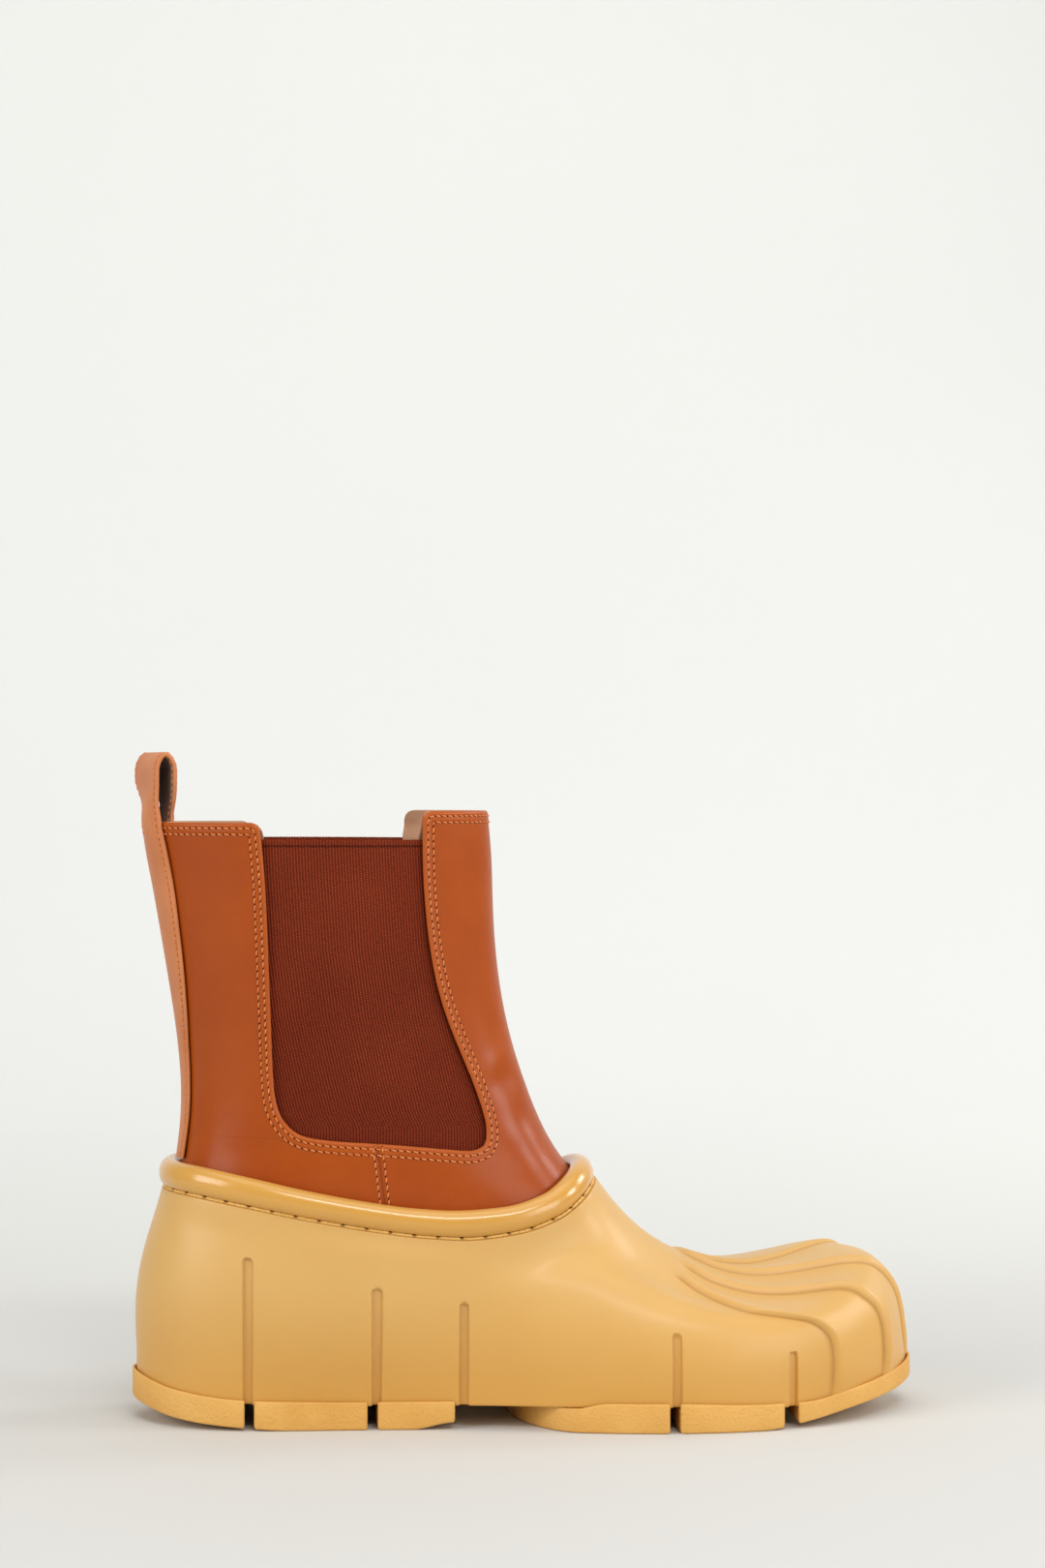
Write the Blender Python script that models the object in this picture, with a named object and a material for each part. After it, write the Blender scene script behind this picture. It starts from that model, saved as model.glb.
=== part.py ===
"""A right rain boot: a moulded rubber galosh foot with a leather chelsea shaft sewn into its rim.

+X points to the toe, -Y to the outer side of the foot and +Z up, with the floor at z = 0.
Sizes are in millimetres, and MM turns them into metres when a mesh is made. Each surface of the
last is a function: shaft_face() is the leather tube, galosh_face() the rubber foot around it, and
every piece is cut between two such faces.
"""
import math

import bpy
import bmesh
import numpy as np

MM = 0.001


def table(columns, rows):
    """Rows of numbers as arrays, one for each named column."""
    values = np.array(rows, dtype=float)
    return dict(zip(columns.split(), values.T))


# Driving sizes
FOOT_LENGTH = 282.0          # over the tread, heel to toe
TREAD_PROUD = 1.5            # how far the tread stands out from the galosh
CLEARANCE = 0.3              # between neighbouring pieces
RUBBER_WALL = 3.0
LEATHER_WALL = 1.6
HEEL_X = -FOOT_LENGTH / 2 + TREAD_PROUD
TOE_X = FOOT_LENGTH / 2 - TREAD_PROUD

# The leather tube, a row for each height: its back, its front, half its width, and how square it is
SHAFT = table("z back front half_width square", [
    (56, -127.6, 34.0, 32.6, 0.060),
    (72, -126.0, 26.6, 33.4, 0.055),
    (84, -124.8, 17.8, 33.8, 0.048),
    (96, -123.2, 9.2, 33.4, 0.036),
    (112, -122.1, 1.7, 32.9, 0.022),
    (128, -122.8, -3.9, 33.0, 0.012),
    (150, -125.6, -9.0, 33.6, 0.002),
    (180, -130.6, -11.9, 34.6, -0.008),
    (200, -134.0, -12.6, 35.2, -0.012),
    (216, -136.6, -14.0, 35.6, -0.014),
])
COLLAR_BACK = 211.5          # top of the leather behind the elastic
COLLAR_FRONT = 215.6         # and in front of it
SHAFT_TUCK = 7.0             # leather below the rim's stitch line

# The rim's stitch line in side view
RIM_LINE = table("x z", [
    (-131, 81.2), (-118, 80.2), (-101, 77.5), (-80, 73.2), (-58, 69.0), (-44, 66.8),
    (-29, 65.7), (-14, 67.1), (2, 71.2), (10, 74.6), (22, 80.6),
])
RIM_LEVEL = 80.0             # height of the oval on which that line is read

# The rolled rim in section: distance from the leather, and height over the stitch line
RIM_SECTION = table("out up", [
    (4.1, 0.3), (4.1, 1.5), (5.9, 1.9), (7.0, 3.4), (7.2, 5.4), (5.9, 7.5), (3.4, 8.6), (1.2, 8.2),
    (CLEARANCE, 6.8), (CLEARANCE, -SHAFT_TUCK - 0.5),
])
RIM_NECK = 5.4               # from the leather to the galosh's outside at the stitch line
BEAD_FOOT = 1.5              # height at which the bead starts over the stitch line
BEAD_TALL = table("x share", [(-131, 1.28), (-30, 1.26), (-8, 1.10), (12, 0.97), (22, 0.96)])

# Tread in side view: its underside on the ground, and the lip that laps the galosh's lower edge
TREAD = table("x ground lip", [
    (-141, 7.4, 17.6), (-126, 3.4, 13.4), (-100, 0.8, 10.6), (-86, 0.0, 10.2), (-60, 0.0, 9.8),
    (0, 0.0, 10.2), (45, 0.0, 10.4), (78, 0.0, 9.3), (94, 2.0, 9.2), (112, 5.2, 11.9),
    (130, 8.0, 15.2), (141, 10.2, 17.8),
])
LIP_LAP = 1.6                # height of the lip over the galosh's lower edge
LIP_CLEARANCE = 0.55         # between the lip and that edge, above which the wall swells

# The galosh's lower edge seen from above, with the place on the rim that each section runs up to
# (in turns from the heel) and how far a plain wall bulges on its way there
EDGE = table("x y turn bulge", [
    (HEEL_X, 0.0, 0.000, 4.2),       # heel back
    (-122.0, -26.8, 0.080, 3.9),     # heel quarter, outer side
    (-86.0, -34.8, 0.178, 3.4),      # heel side
    (-28.0, -37.8, 0.300, 3.0),      # waist
    (40.0, -51.1, 0.386, 0.0),       # ball
    (92.0, -45.5, 0.434, 0.0),       # little toe
    (125.0, -24.5, 0.470, 0.0),      # outer toe corner
    (TOE_X, 8.0, 0.500, 0.0),        # toe tip
    (126.0, 34.0, 0.530, 0.0),       # inner toe corner
    (94.0, 46.5, 0.566, 0.0),        # big toe
    (50.0, 51.5, 0.614, 0.0),        # ball, inner side
    (-26.0, 35.0, 0.700, 3.0),       # waist
    (-86.0, 34.4, 0.822, 3.4),       # heel side
    (-122.0, 26.6, 0.920, 3.9),      # heel quarter
])
FIRST_TOE_SECTION, TOE_TIP = 4, 7
SWELL_POWER = 1.3            # a higher power keeps a plain wall's bulge to its middle

# Forefoot sections from the edge up to the rim: inset from the edge, and height
FOREFOOT = table(
    "wall_in wall_z brow_in brow_z shoulder_in shoulder_z crown_in crown_z dip_in dip_z rise_in rise_z", [
        (-1.0, 17.0, -0.6, 26.0, 2.6, 35.5, 9.0, 44.5, 18.5, 53.0, 29.0, 61.5),      # ball
        (-0.6, 17.0, -0.2, 26.0, 3.2, 34.0, 13.0, 38.8, 36.0, 44.0, 60.0, 58.5),     # little toe
        (0.0, 22.5, 2.0, 34.5, 7.0, 41.5, 18.0, 44.4, 48.0, 44.0, 82.0, 59.5),       # outer toe corner
        (1.7, 27.5, 4.2, 40.5, 10.8, 50.6, 25.0, 54.0, 60.0, 49.2, 95.0, 62.3),      # toe tip
        (0.4, 25.0, 2.4, 38.5, 8.5, 49.6, 22.0, 54.3, 52.0, 50.8, 84.0, 60.3),       # inner toe corner
        (-0.6, 18.0, -0.3, 29.0, 3.5, 40.0, 12.0, 47.0, 34.0, 49.6, 60.0, 59.8),     # big toe
        (-0.8, 18.0, 0.0, 28.0, 4.0, 38.0, 11.5, 46.5, 22.5, 54.0, 36.0, 62.0),      # ball, inner side
    ])
PROFILE_ROWS = ("wall", "brow", "shoulder", "crown", "dip", "rise")
NECK_ROW = len(PROFILE_ROWS) + 1
FLOOR_ROW = 0.55             # profile row at which the inside meets the galosh's floor

# Toe ribs: the section on which the crease of each one lies, in profile rows from the tread up
RIB_LINES = table("row first second third fourth", [
    (0.0, 5.33, 6.01, 6.80, 7.80),
    (2.0, 5.35, 6.07, 6.78, 7.78),
    (3.1, 5.26, 6.03, 6.70, 7.72),
    (3.7, 5.10, 6.03, 6.65, 7.61),
    (4.2, 4.96, 6.00, 6.67, 7.48),
    (4.6, 5.02, 5.95, 6.69, 7.33),
    (5.0, 5.17, 5.92, 6.67, 7.21),
    (5.3, 5.30, 5.92, 6.70, 7.26),
    (5.5, 5.42, 5.99, 6.84, 7.42),
    (5.75, 5.56, 6.20, 7.05, 7.65),
    (7.0, 5.56, 6.20, 7.05, 7.65),
])
RIB_NAMES = ("first", "second", "third", "fourth")
RIB_STARTS = (5.66, 5.70, 5.70, 5.72)    # profile row at which each rib starts
RIB_COLUMNS = (5.38, 5.97, 6.64, 7.42)   # sections of the creases in the list of mesh columns
RIB_SPAN = (4.2, 8.6)        # sections within which the columns give way to the creases
RIB_HEIGHT = 1.9
RIB_FLANK = 2.2              # steep outer side of a rib, from its crease to its crest
RIB_RISE = 0.17              # profile rows over which a rib comes up at its start
RIB_FOOT, RIB_FADE = 0.4, 0.2    # profile row at which it runs out above the tread, and rows to do so
RIB_CROWDING = 0.3           # least spread of the sections, so that a rib's crest stays near its crease

# Grooves up the galosh's sides, over the slots in the tread
GROOVES = table("x top", [
    (-100.2, 60.7), (-55.4, 49.9), (-25.1, 44.5), (48.2, 34.3), (89.8, 27.0),
])
GROOVE_WIDTH = 4.0
GROOVE_DEPTH = 1.8
GROOVE_REACH = 3.0           # of its cutter, out of the wall and below the edge
GROOVE_ROUND = 1.3           # angle over which its top rounds in, a little short of a quarter turn
GROOVE_ROWS = 5.6            # profile rows up the wall that the tallest groove can reach

# Tread pads from heel to toe: ends in side view, length of a rounded rear end, rise of the front underside
PADS = {
    "pad_heel_rear": (-141.0, -101.3, 0.0, 0.0),
    "pad_heel_middle": (-98.0, -58.6, 0.0, 0.0),
    "pad_heel_front": (-55.0, -28.2, 0.0, 2.6),
    "pad_ball_rear": (-7.4, 45.6, 22.4, 0.0),
    "pad_ball_front": (49.2, 86.4, 0.0, 0.0),
    "pad_toe": (91.6, 141.0, 0.0, 0.0),
}
PAD_CHAMFER = 0.8
PAD_BEVEL_LENGTH = 15.0
LIP_END = 0.14               # share of a rounded end over which the lip runs out

# Elastic panels: the notch in the leather, a row for each height
NOTCH = table("z rear front", [
    (96.5, -25.0, -21.0), (97.8, -38.0, -17.6), (99.4, -56.0, -16.5), (101.6, -79.0, -16.2),
    (104.5, -85.0, -16.2), (110.0, -89.2, -17.4), (121.0, -91.3, -21.2), (143.5, -92.3, -30.3),
    (167.0, -93.2, -36.0), (192.0, -94.4, -38.4), (206.5, -95.7, -38.7), (209.8, -97.3, -38.7),
    (211.4, -99.6, -38.5), (213.0, -101.4, -37.6), (214.6, -102.6, -35.6), (216.5, -103.5, -32.0),
    (230.0, -106.0, -26.0),
])
NOTCH_FOOT, NOTCH_HEAD = 104.5, 206.5    # heights between which its sides run, below and above rounded
NOTCH_SHIFT_INNER = -3.0     # the inner side's notch lies a little further back
NOTCH_REACH = (8.0, 70.0)    # of its cutter, from the middle of the shaft outwards
GORE_TOP = 205.6
GORE_BOTTOM = 88.5
GORE_OVERLAP = 7.0           # elastic behind the leather all round
GORE_WALL = 1.4
GORE_CLEARANCE = 0.5

# Strip over the back seam, and the strap loop above it
STRIP_WALL = 1.4
STRIP_BOTTOM = 91.8
STRIP_TOP = 200.0
STRIP_HALF_BOTTOM = 10.5
STRIP_HALF_TOP = 15.0
LOOP_HALF_WIDTH = 14.0
LOOP_TWIST = math.radians(17)
LOOP_WALL = 1.8
LOOP_PATH = table("x z hug", [
    (-135.3, 200.4, 1.0), (-136.2, 206.0, 1.0), (-137.0, 212.5, 1.0), (-136.4, 220.0, 0.3),
    (-135.9, 227.5, 0.0), (-135.2, 233.0, 0.0), (-132.8, 235.6, 0.0), (-130.4, 233.2, 0.0),
    (-129.6, 227.5, 0.0), (-129.8, 220.0, 0.3), (-131.2, 212.5, 1.0), (-131.9, 206.0, 1.0),
    (-131.3, 200.4, 1.0),
])
LOOP_BEND = 4                # point of that path from which it bends over, as far again from its other end

INSOLE_WALL = 3.2
INSOLE_INSET = 1.2
SHARP_ANGLE = math.radians(35)   # edges that turn more than this are seen as edges

FINISHES = {
    "yellow_rubber": ((0.716, 0.397, 0.102, 1.0), 0.38),
    "tread_rubber": ((0.672, 0.347, 0.075, 1.0), 0.55),
    "tan_leather": ((0.328, 0.060, 0.010, 1.0), 0.45),
    "rust_elastic": ((0.190, 0.024, 0.008, 1.0), 0.80),
    "insole_foam": ((0.500, 0.270, 0.155, 1.0), 0.85),
}


def spline_weights(knots, at, period=0.0):
    """Weight of each knot's value at each place: a cubic spline with continuous curvature.

    It is natural at its ends, or closed where a period is given.
    """
    count = len(knots)
    ends = np.append(knots, knots[0] + period) if period else knots
    at = knots[0] + np.mod(at - knots[0], period) if period else np.asarray(at, dtype=float)
    spans = np.diff(ends)
    system = np.eye(count)
    pull = np.zeros((count, count))
    for knot in range(0 if period else 1, count if period else count - 1):
        before, after = spans[knot - 1], spans[knot]
        left, right = (knot - 1) % count, (knot + 1) % count
        system[knot, knot] = (before + after) / 3
        system[knot, left] += before / 6
        system[knot, right] += after / 6
        pull[knot, knot] -= 1 / before + 1 / after
        pull[knot, left] += 1 / before
        pull[knot, right] += 1 / after
    bend = np.linalg.solve(system, pull)
    span = np.clip(np.searchsorted(ends, at, side="right") - 1, 0, len(spans) - 1)
    after = (span + 1) % count
    width = spans[span]
    near = (ends[span + 1] - at) / width
    far = 1 - near
    unit = np.eye(count)
    weights = near[..., None] * unit[span] + far[..., None] * unit[after]
    weights += ((near ** 3 - near) * width ** 2 / 6)[..., None] * bend[span]
    weights += ((far ** 3 - far) * width ** 2 / 6)[..., None] * bend[after]
    return weights


def follow(xs, ys, at):
    """Monotone cubic through a table's points: it never overshoots, so flat stretches stay flat."""
    at = np.clip(at, xs[0], xs[-1])
    spans = np.diff(xs)
    slopes = np.diff(ys) / spans
    tangents = np.zeros(len(xs))
    for knot in range(1, len(xs) - 1):
        before, after = slopes[knot - 1], slopes[knot]
        if before * after > 0:
            heavy = 2 * spans[knot] + spans[knot - 1]
            light = spans[knot] + 2 * spans[knot - 1]
            tangents[knot] = (heavy + light) / (heavy / before + light / after)
    tangents[0], tangents[-1] = slopes[0], slopes[-1]
    span = np.clip(np.searchsorted(xs, at, side="right") - 1, 0, len(spans) - 1)
    width = spans[span]
    u = (at - xs[span]) / width
    value = ys[span] * (1 + 2 * u) * (1 - u) ** 2 + ys[span + 1] * u ** 2 * (3 - 2 * u)
    return value + width * (tangents[span] * u * (1 - u) ** 2 - tangents[span + 1] * u ** 2 * (1 - u))


def lifted(face, u, v, lift):
    """Points of a face moved out along its normal, which comes from small steps in u and v."""
    step = 1e-4
    along_u = face(u + step, v) - face(u - step, v)
    along_v = face(u, v + step) - face(u, v - step)
    normal = np.cross(along_u, along_v)
    normal /= np.linalg.norm(normal, axis=-1, keepdims=True)
    return face(u, v) + np.asarray(lift, dtype=float)[..., None] * normal


def shaft_face(turn, z):
    """Outside of the leather: at each height an oval, squared a little by a third harmonic."""
    turn, z = np.broadcast_arrays(np.asarray(turn, dtype=float), np.asarray(z, dtype=float))
    weights = spline_weights(SHAFT["z"], z)
    back, front = weights @ SHAFT["back"], weights @ SHAFT["front"]
    half_width, square = weights @ SHAFT["half_width"], weights @ SHAFT["square"]
    angle = 2 * math.pi * turn
    along = (np.cos(angle) - square * np.cos(3 * angle)) / (1 - square)
    across = (np.sin(angle) + square * np.sin(3 * angle)) / (1 - square)
    x = (back + front) / 2 - (front - back) / 2 * along
    return np.stack([x, -half_width * across, z], axis=-1)


def rim_height(turn):
    """Height of the stitch line round the rim."""
    level = np.full_like(np.asarray(turn, dtype=float), RIM_LEVEL)
    return follow(RIM_LINE["x"], RIM_LINE["z"], shaft_face(turn, level)[..., 0])


def bead_height(turn, up):
    """A height in the rim's section over the stitch line, stretched where the bead is taller."""
    level = np.full_like(turn, RIM_LEVEL)
    share = follow(BEAD_TALL["x"], BEAD_TALL["share"], shaft_face(turn, level)[..., 0])
    return min(up, BEAD_FOOT) + max(up - BEAD_FOOT, 0.0) * share


def edge_knots():
    """Place of each section along the galosh's lower edge, by chord length, and the whole length."""
    points = np.stack([EDGE["x"], EDGE["y"]], axis=-1)
    chords = np.linalg.norm(np.roll(points, -1, axis=0) - points, axis=1)
    return np.concatenate([[0.0], np.cumsum(chords)[:-1]]), chords.sum()


KNOTS, AROUND = edge_knots()


def place(section):
    """Distance along the lower edge for a section number, whole or between two sections."""
    return np.interp(section, np.arange(len(KNOTS) + 1), np.append(KNOTS, AROUND))


def galosh_net():
    """Points of each section's profile, from the lower edge up to the rim's neck."""
    lower = follow(TREAD["x"], TREAD["lip"], EDGE["x"]) - LIP_LAP
    edge = np.stack([EDGE["x"], EDGE["y"], lower], axis=-1)
    turn = EDGE["turn"]
    neck = lifted(shaft_face, turn, rim_height(turn), np.full(len(turn), RIM_NECK))
    ahead = spline_weights(KNOTS, KNOTS + 0.5, AROUND) @ edge
    behind = spline_weights(KNOTS, KNOTS - 0.5, AROUND) @ edge
    tangent = (ahead - behind)[:, :2]
    tangent /= np.linalg.norm(tangent, axis=1, keepdims=True)
    outward = np.stack([tangent[:, 1], -tangent[:, 0], np.zeros(len(turn))], axis=-1)
    inward = (neck - edge) * np.array([1.0, 1.0, 0.0])
    inward /= np.maximum(np.linalg.norm(inward, axis=1, keepdims=True), 1e-9)
    net = [edge]
    toes = slice(FIRST_TOE_SECTION, FIRST_TOE_SECTION + len(FOREFOOT["wall_z"]))
    for number, row in enumerate(PROFILE_ROWS, start=1):
        share = number / NECK_ROW
        swell = EDGE["bulge"] * math.sin(math.pi * share) ** SWELL_POWER
        points = edge + (neck - edge) * share + outward * swell[:, None]
        points[toes] = edge[toes] + inward[toes] * FOREFOOT[row + "_in"][:, None]
        points[toes, 2] = FOREFOOT[row + "_z"]
        net.append(points)
    net.append(neck)
    return np.array(net)


NET = galosh_net()


def galosh_face(along, row):
    """Outside of the galosh: a closed spline round the sections, and a spline up their profiles.

    Its lower edge is then set on the tread's line, and the change fades out up the wall.
    """
    along, row = np.broadcast_arrays(np.asarray(along, dtype=float), np.asarray(row, dtype=float))
    round_weights = spline_weights(KNOTS, along, AROUND)
    up_weights = spline_weights(np.arange(NECK_ROW + 1.0), row)
    points = np.einsum("...r,...s,rsk->...k", up_weights, round_weights, NET)
    edge = round_weights @ NET[0]
    off_line = follow(TREAD["x"], TREAD["lip"], edge[..., 0]) - LIP_LAP - edge[..., 2]
    points[..., 2] += off_line * np.clip(1 - row / 2, 0.0, 1.0) ** 2
    return points


def rim_turn(along):
    """Turn round the rim above a place on the lower edge."""
    whole = np.append(KNOTS, AROUND)
    return follow(whole, np.append(EDGE["turn"], 1.0), along)


def smooth_step(low, high, at):
    """Rise from 0 at low to 1 at high, level at both ends."""
    u = np.clip((at - low) / (high - low), 0.0, 1.0)
    return u * u * (3 - 2 * u)


def edge_curve(out, side):
    """The galosh's lower edge moved outwards, as x and y from heel to toe along one side."""
    steps = np.linspace(0.0, AROUND, 2801)
    points = galosh_face(steps, 0.0)
    tangent = galosh_face(steps + 0.2, 0.0) - galosh_face(steps - 0.2, 0.0)
    tangent /= np.linalg.norm(tangent[:, :2], axis=1, keepdims=True)
    x = points[:, 0] + out * tangent[:, 1]
    y = points[:, 1] - out * tangent[:, 0]
    heel, toe = np.argmin(x), np.argmax(x)
    whole = len(x) - 1
    if side < 0:
        picked = np.arange(heel, toe + 1 if heel < toe else toe + 1 + whole)
    else:
        picked = np.arange(heel + whole if heel < toe else heel, toe - 1, -1)
    return x[picked % whole], y[picked % whole]


def stack_faces(rows, count, looped=False):
    """Quads between each ring of vertices and the next; looped joins the last ring to the first."""
    faces = []
    for row in range(rows if looped else rows - 1):
        low, high = row * count, (row + 1) % rows * count
        for column in range(count):
            after = (column + 1) % count
            faces.append((low + column, low + after, high + after, high + column))
    return faces


def ladder_faces(start, count):
    """Close a ring by rungs from its outer half to its inner half, heel to toe."""
    half = count // 2
    faces = [(start, start + 1, start + count - 1), (start + half - 1, start + half, start + half + 1)]
    for rung in range(1, half - 1):
        faces.append((start + rung, start + rung + 1, start + count - rung - 1, start + count - rung))
    return faces


def slab_faces(rows, columns):
    """Two grids of the same size, front then back, joined along their borders."""
    size = rows * columns
    faces = []
    for row in range(rows - 1):
        for column in range(columns - 1):
            corner = row * columns + column
            quad = (corner, corner + 1, corner + columns + 1, corner + columns)
            faces.append(quad)
            faces.append(tuple(size + index for index in reversed(quad)))
    border = [column for column in range(columns)]
    border += [row * columns + columns - 1 for row in range(1, rows)]
    border += [(rows - 1) * columns + column for column in range(columns - 2, -1, -1)]
    border += [row * columns for row in range(rows - 2, 0, -1)]
    for index, corner in enumerate(border):
        after = border[(index + 1) % len(border)]
        faces.append((after, corner, size + corner, size + after))
    return faces


def make_finish(name):
    """A plain material in the piece's colour."""
    colour, roughness = FINISHES[name]
    material = bpy.data.materials.new(name)
    material.use_nodes = True
    shader = material.node_tree.nodes["Principled BSDF"]
    shader.inputs["Base Color"].default_value = colour
    shader.inputs["Roughness"].default_value = roughness
    shader.inputs["Metallic"].default_value = 0.0
    return material


def make_piece(name, points, faces, finish, parent):
    """A closed mesh object from points in millimetres, with its faces turned outwards."""
    mesh = bpy.data.meshes.new(name)
    mesh.from_pydata((np.asarray(points).reshape(-1, 3) * MM).tolist(), [], faces)
    work = bmesh.new()
    work.from_mesh(mesh)
    bmesh.ops.remove_doubles(work, verts=work.verts, dist=1e-6)
    bmesh.ops.dissolve_degenerate(work, edges=work.edges, dist=1e-7)
    bmesh.ops.recalc_face_normals(work, faces=work.faces)
    work.to_mesh(mesh)
    work.free()
    mesh.shade_smooth()
    mesh.set_sharp_from_angle(angle=SHARP_ANGLE)
    piece = bpy.data.objects.new(name, mesh)
    bpy.context.collection.objects.link(piece)
    if finish:
        mesh.materials.append(finish)
    piece.parent = parent
    return piece


def cut_away(piece, cutter):
    """Take the cutter's shape out of a piece."""
    cutter.hide_render = True
    cutter.display_type = "WIRE"
    cut = piece.modifiers.new(cutter.name, "BOOLEAN")
    cut.operation = "DIFFERENCE"
    cut.solver = "EXACT"
    cut.object = cutter


def column_sections():
    """Section numbers of the mesh columns: even steps, with a crease, crest and tail at each rib."""
    steps = [4, 4, 5, 6, 5]
    outer = [section + step / count for section, count in enumerate(steps) for step in range(count)]
    outer += [5.0, 5.19, "rib", "crest", 5.62, 5.80, "rib", "crest", 6.21, 6.43, "rib", "crest", 6.88]
    inner = [7.20, "rib", "crest", 7.66, 7.83]
    for section, count in zip(range(8, 14), [5, 5, 7, 6, 4, 4]):
        inner += [section + step / count for step in range(count)]
    return outer + [float(TOE_TIP)] + inner


def beside_ribs(section, rows):
    """Section of a mesh column in each profile row, shifted so that it keeps its place between creases."""
    fixed = np.concatenate([[0.0], RIB_SPAN[:1], RIB_COLUMNS, RIB_SPAN[1:], [len(KNOTS)]])
    lines = np.array([follow(RIB_LINES["row"], RIB_LINES[name], rows) for name in RIB_NAMES])
    shifted = np.array([np.interp(section, fixed, np.concatenate([fixed[:2], line, fixed[-2:]]))
                        for line in lines.T])
    return shifted


def galosh_columns(rows):
    """Place along the edge and rib height of every mesh column, in each of the given profile rows."""
    along, height = [], []
    rib = -1
    for entry in column_sections():
        lift = np.zeros(len(rows))
        if entry == "rib":
            rib += 1
            column = place(beside_ribs(RIB_COLUMNS[rib], rows))
        elif entry == "crest":
            crease = place(beside_ribs(RIB_COLUMNS[rib], rows))
            spread = galosh_face(crease + 0.5, rows) - galosh_face(crease - 0.5, rows)
            column = crease + RIB_FLANK / np.maximum(np.linalg.norm(spread, axis=-1), RIB_CROWDING)
            start = RIB_STARTS[rib]
            lift = RIB_HEIGHT * smooth_step(start, start - RIB_RISE, rows)
            lift *= smooth_step(RIB_FOOT, RIB_FOOT + RIB_FADE, rows)
        else:
            column = place(beside_ribs(entry, rows))
        along.append(column)
        height.append(lift)
    return np.array(along).T, np.array(height).T


def rim_columns():
    """Turn round the rim of every mesh column."""
    along, _ = galosh_columns(np.array([float(NECK_ROW)]))
    return rim_turn(along[0])


def make_galosh(parent, finish):
    """The rubber foot: outside, rolled rim, inside and floor in one skin, then the side grooves."""
    outer_rows = np.array([
        0.0, 0.4, 0.62, 1.2, 1.8, 2.4, 3.0, 3.5, 4.0, 4.5, 5.0, 5.3, 5.58, 5.74, 6.2, 7.0])
    along, height = galosh_columns(outer_rows)
    outside = lifted(galosh_face, along, np.broadcast_to(outer_rows[:, None], along.shape), height)
    turns = rim_columns()
    stitch = rim_height(turns)
    rim = [lifted(shaft_face, turns, stitch + bead_height(turns, up), np.full_like(turns, out))
           for out, up in zip(RIM_SECTION["out"], RIM_SECTION["up"])]
    inner_rows = np.array([6.0, 5.0, 4.2, 3.4, 2.4, 1.4, FLOOR_ROW])
    along, _ = galosh_columns(inner_rows)
    depth = np.full(along.shape, -RUBBER_WALL)
    inside = lifted(galosh_face, along, np.broadcast_to(inner_rows[:, None], along.shape), depth)
    rings = np.concatenate([outside, np.array(rim), inside])
    rows, count = rings.shape[:2]
    faces = stack_faces(rows, count) + ladder_faces(0, count) + ladder_faces((rows - 1) * count, count)
    galosh = make_piece("galosh", rings, faces, finish, parent)
    cut_away(galosh, make_groove_cutter(parent))


def along_at(x, row, first, last):
    """Place along the edge, on the side between two others, at which a profile row reaches x."""
    steps = np.linspace(first, last, 401)
    reach = galosh_face(steps, row)[:, 0]
    if reach[0] > reach[-1]:
        steps, reach = steps[::-1], reach[::-1]
    return np.interp(x, reach, steps)


def make_groove_cutter(parent):
    """All side grooves as slim upright bars along the wall, round at the top and open at the bottom."""
    points, faces = [], []
    half = GROOVE_WIDTH / 2
    reach = np.linspace(0.0, 1.0, 5)[:-1]
    arc = np.linspace(0.0, GROOVE_ROUND, 4)
    halves = np.append(np.full(len(reach), half), half * np.cos(arc))
    corners = ((-1, GROOVE_REACH), (1, GROOVE_REACH), (1, -GROOVE_DEPTH), (-1, -GROOVE_DEPTH))
    sides = ((0.0, place(TOE_TIP)), (place(TOE_TIP), AROUND))
    for x, top in zip(GROOVES["x"], GROOVES["top"]):
        for first, last in sides:
            climb = np.linspace(0.0, GROOVE_ROWS, 57)
            upright = np.array([along_at(x, row, first, last) for row in climb])
            height = galosh_face(upright, climb)[:, 2]
            straight = height[0] + (top - half - height[0]) * reach
            levels = np.append(straight, top - half + half * np.sin(arc))
            rows = np.interp(levels, height, climb)
            centre = np.interp(rows, climb, upright)
            rings = [lifted(galosh_face, centre + sign * halves, rows, np.full_like(rows, lift))
                     for sign, lift in corners]
            rings = np.stack(rings, axis=1)
            below = rings[:1] - np.array([0.0, 0.0, GROOVE_REACH])
            rings = np.concatenate([below, rings])
            start = sum(len(ring) * 4 for ring in points)
            count = len(rings)
            faces += [tuple(start + index for index in face) for face in stack_faces(count, 4)]
            faces.append((start + 3, start + 2, start + 1, start))
            faces.append(tuple(start + (count - 1) * 4 + index for index in range(4)))
            points.append(rings)
    return make_piece("groove_cutter", np.concatenate(points), faces, None, parent)


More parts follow.
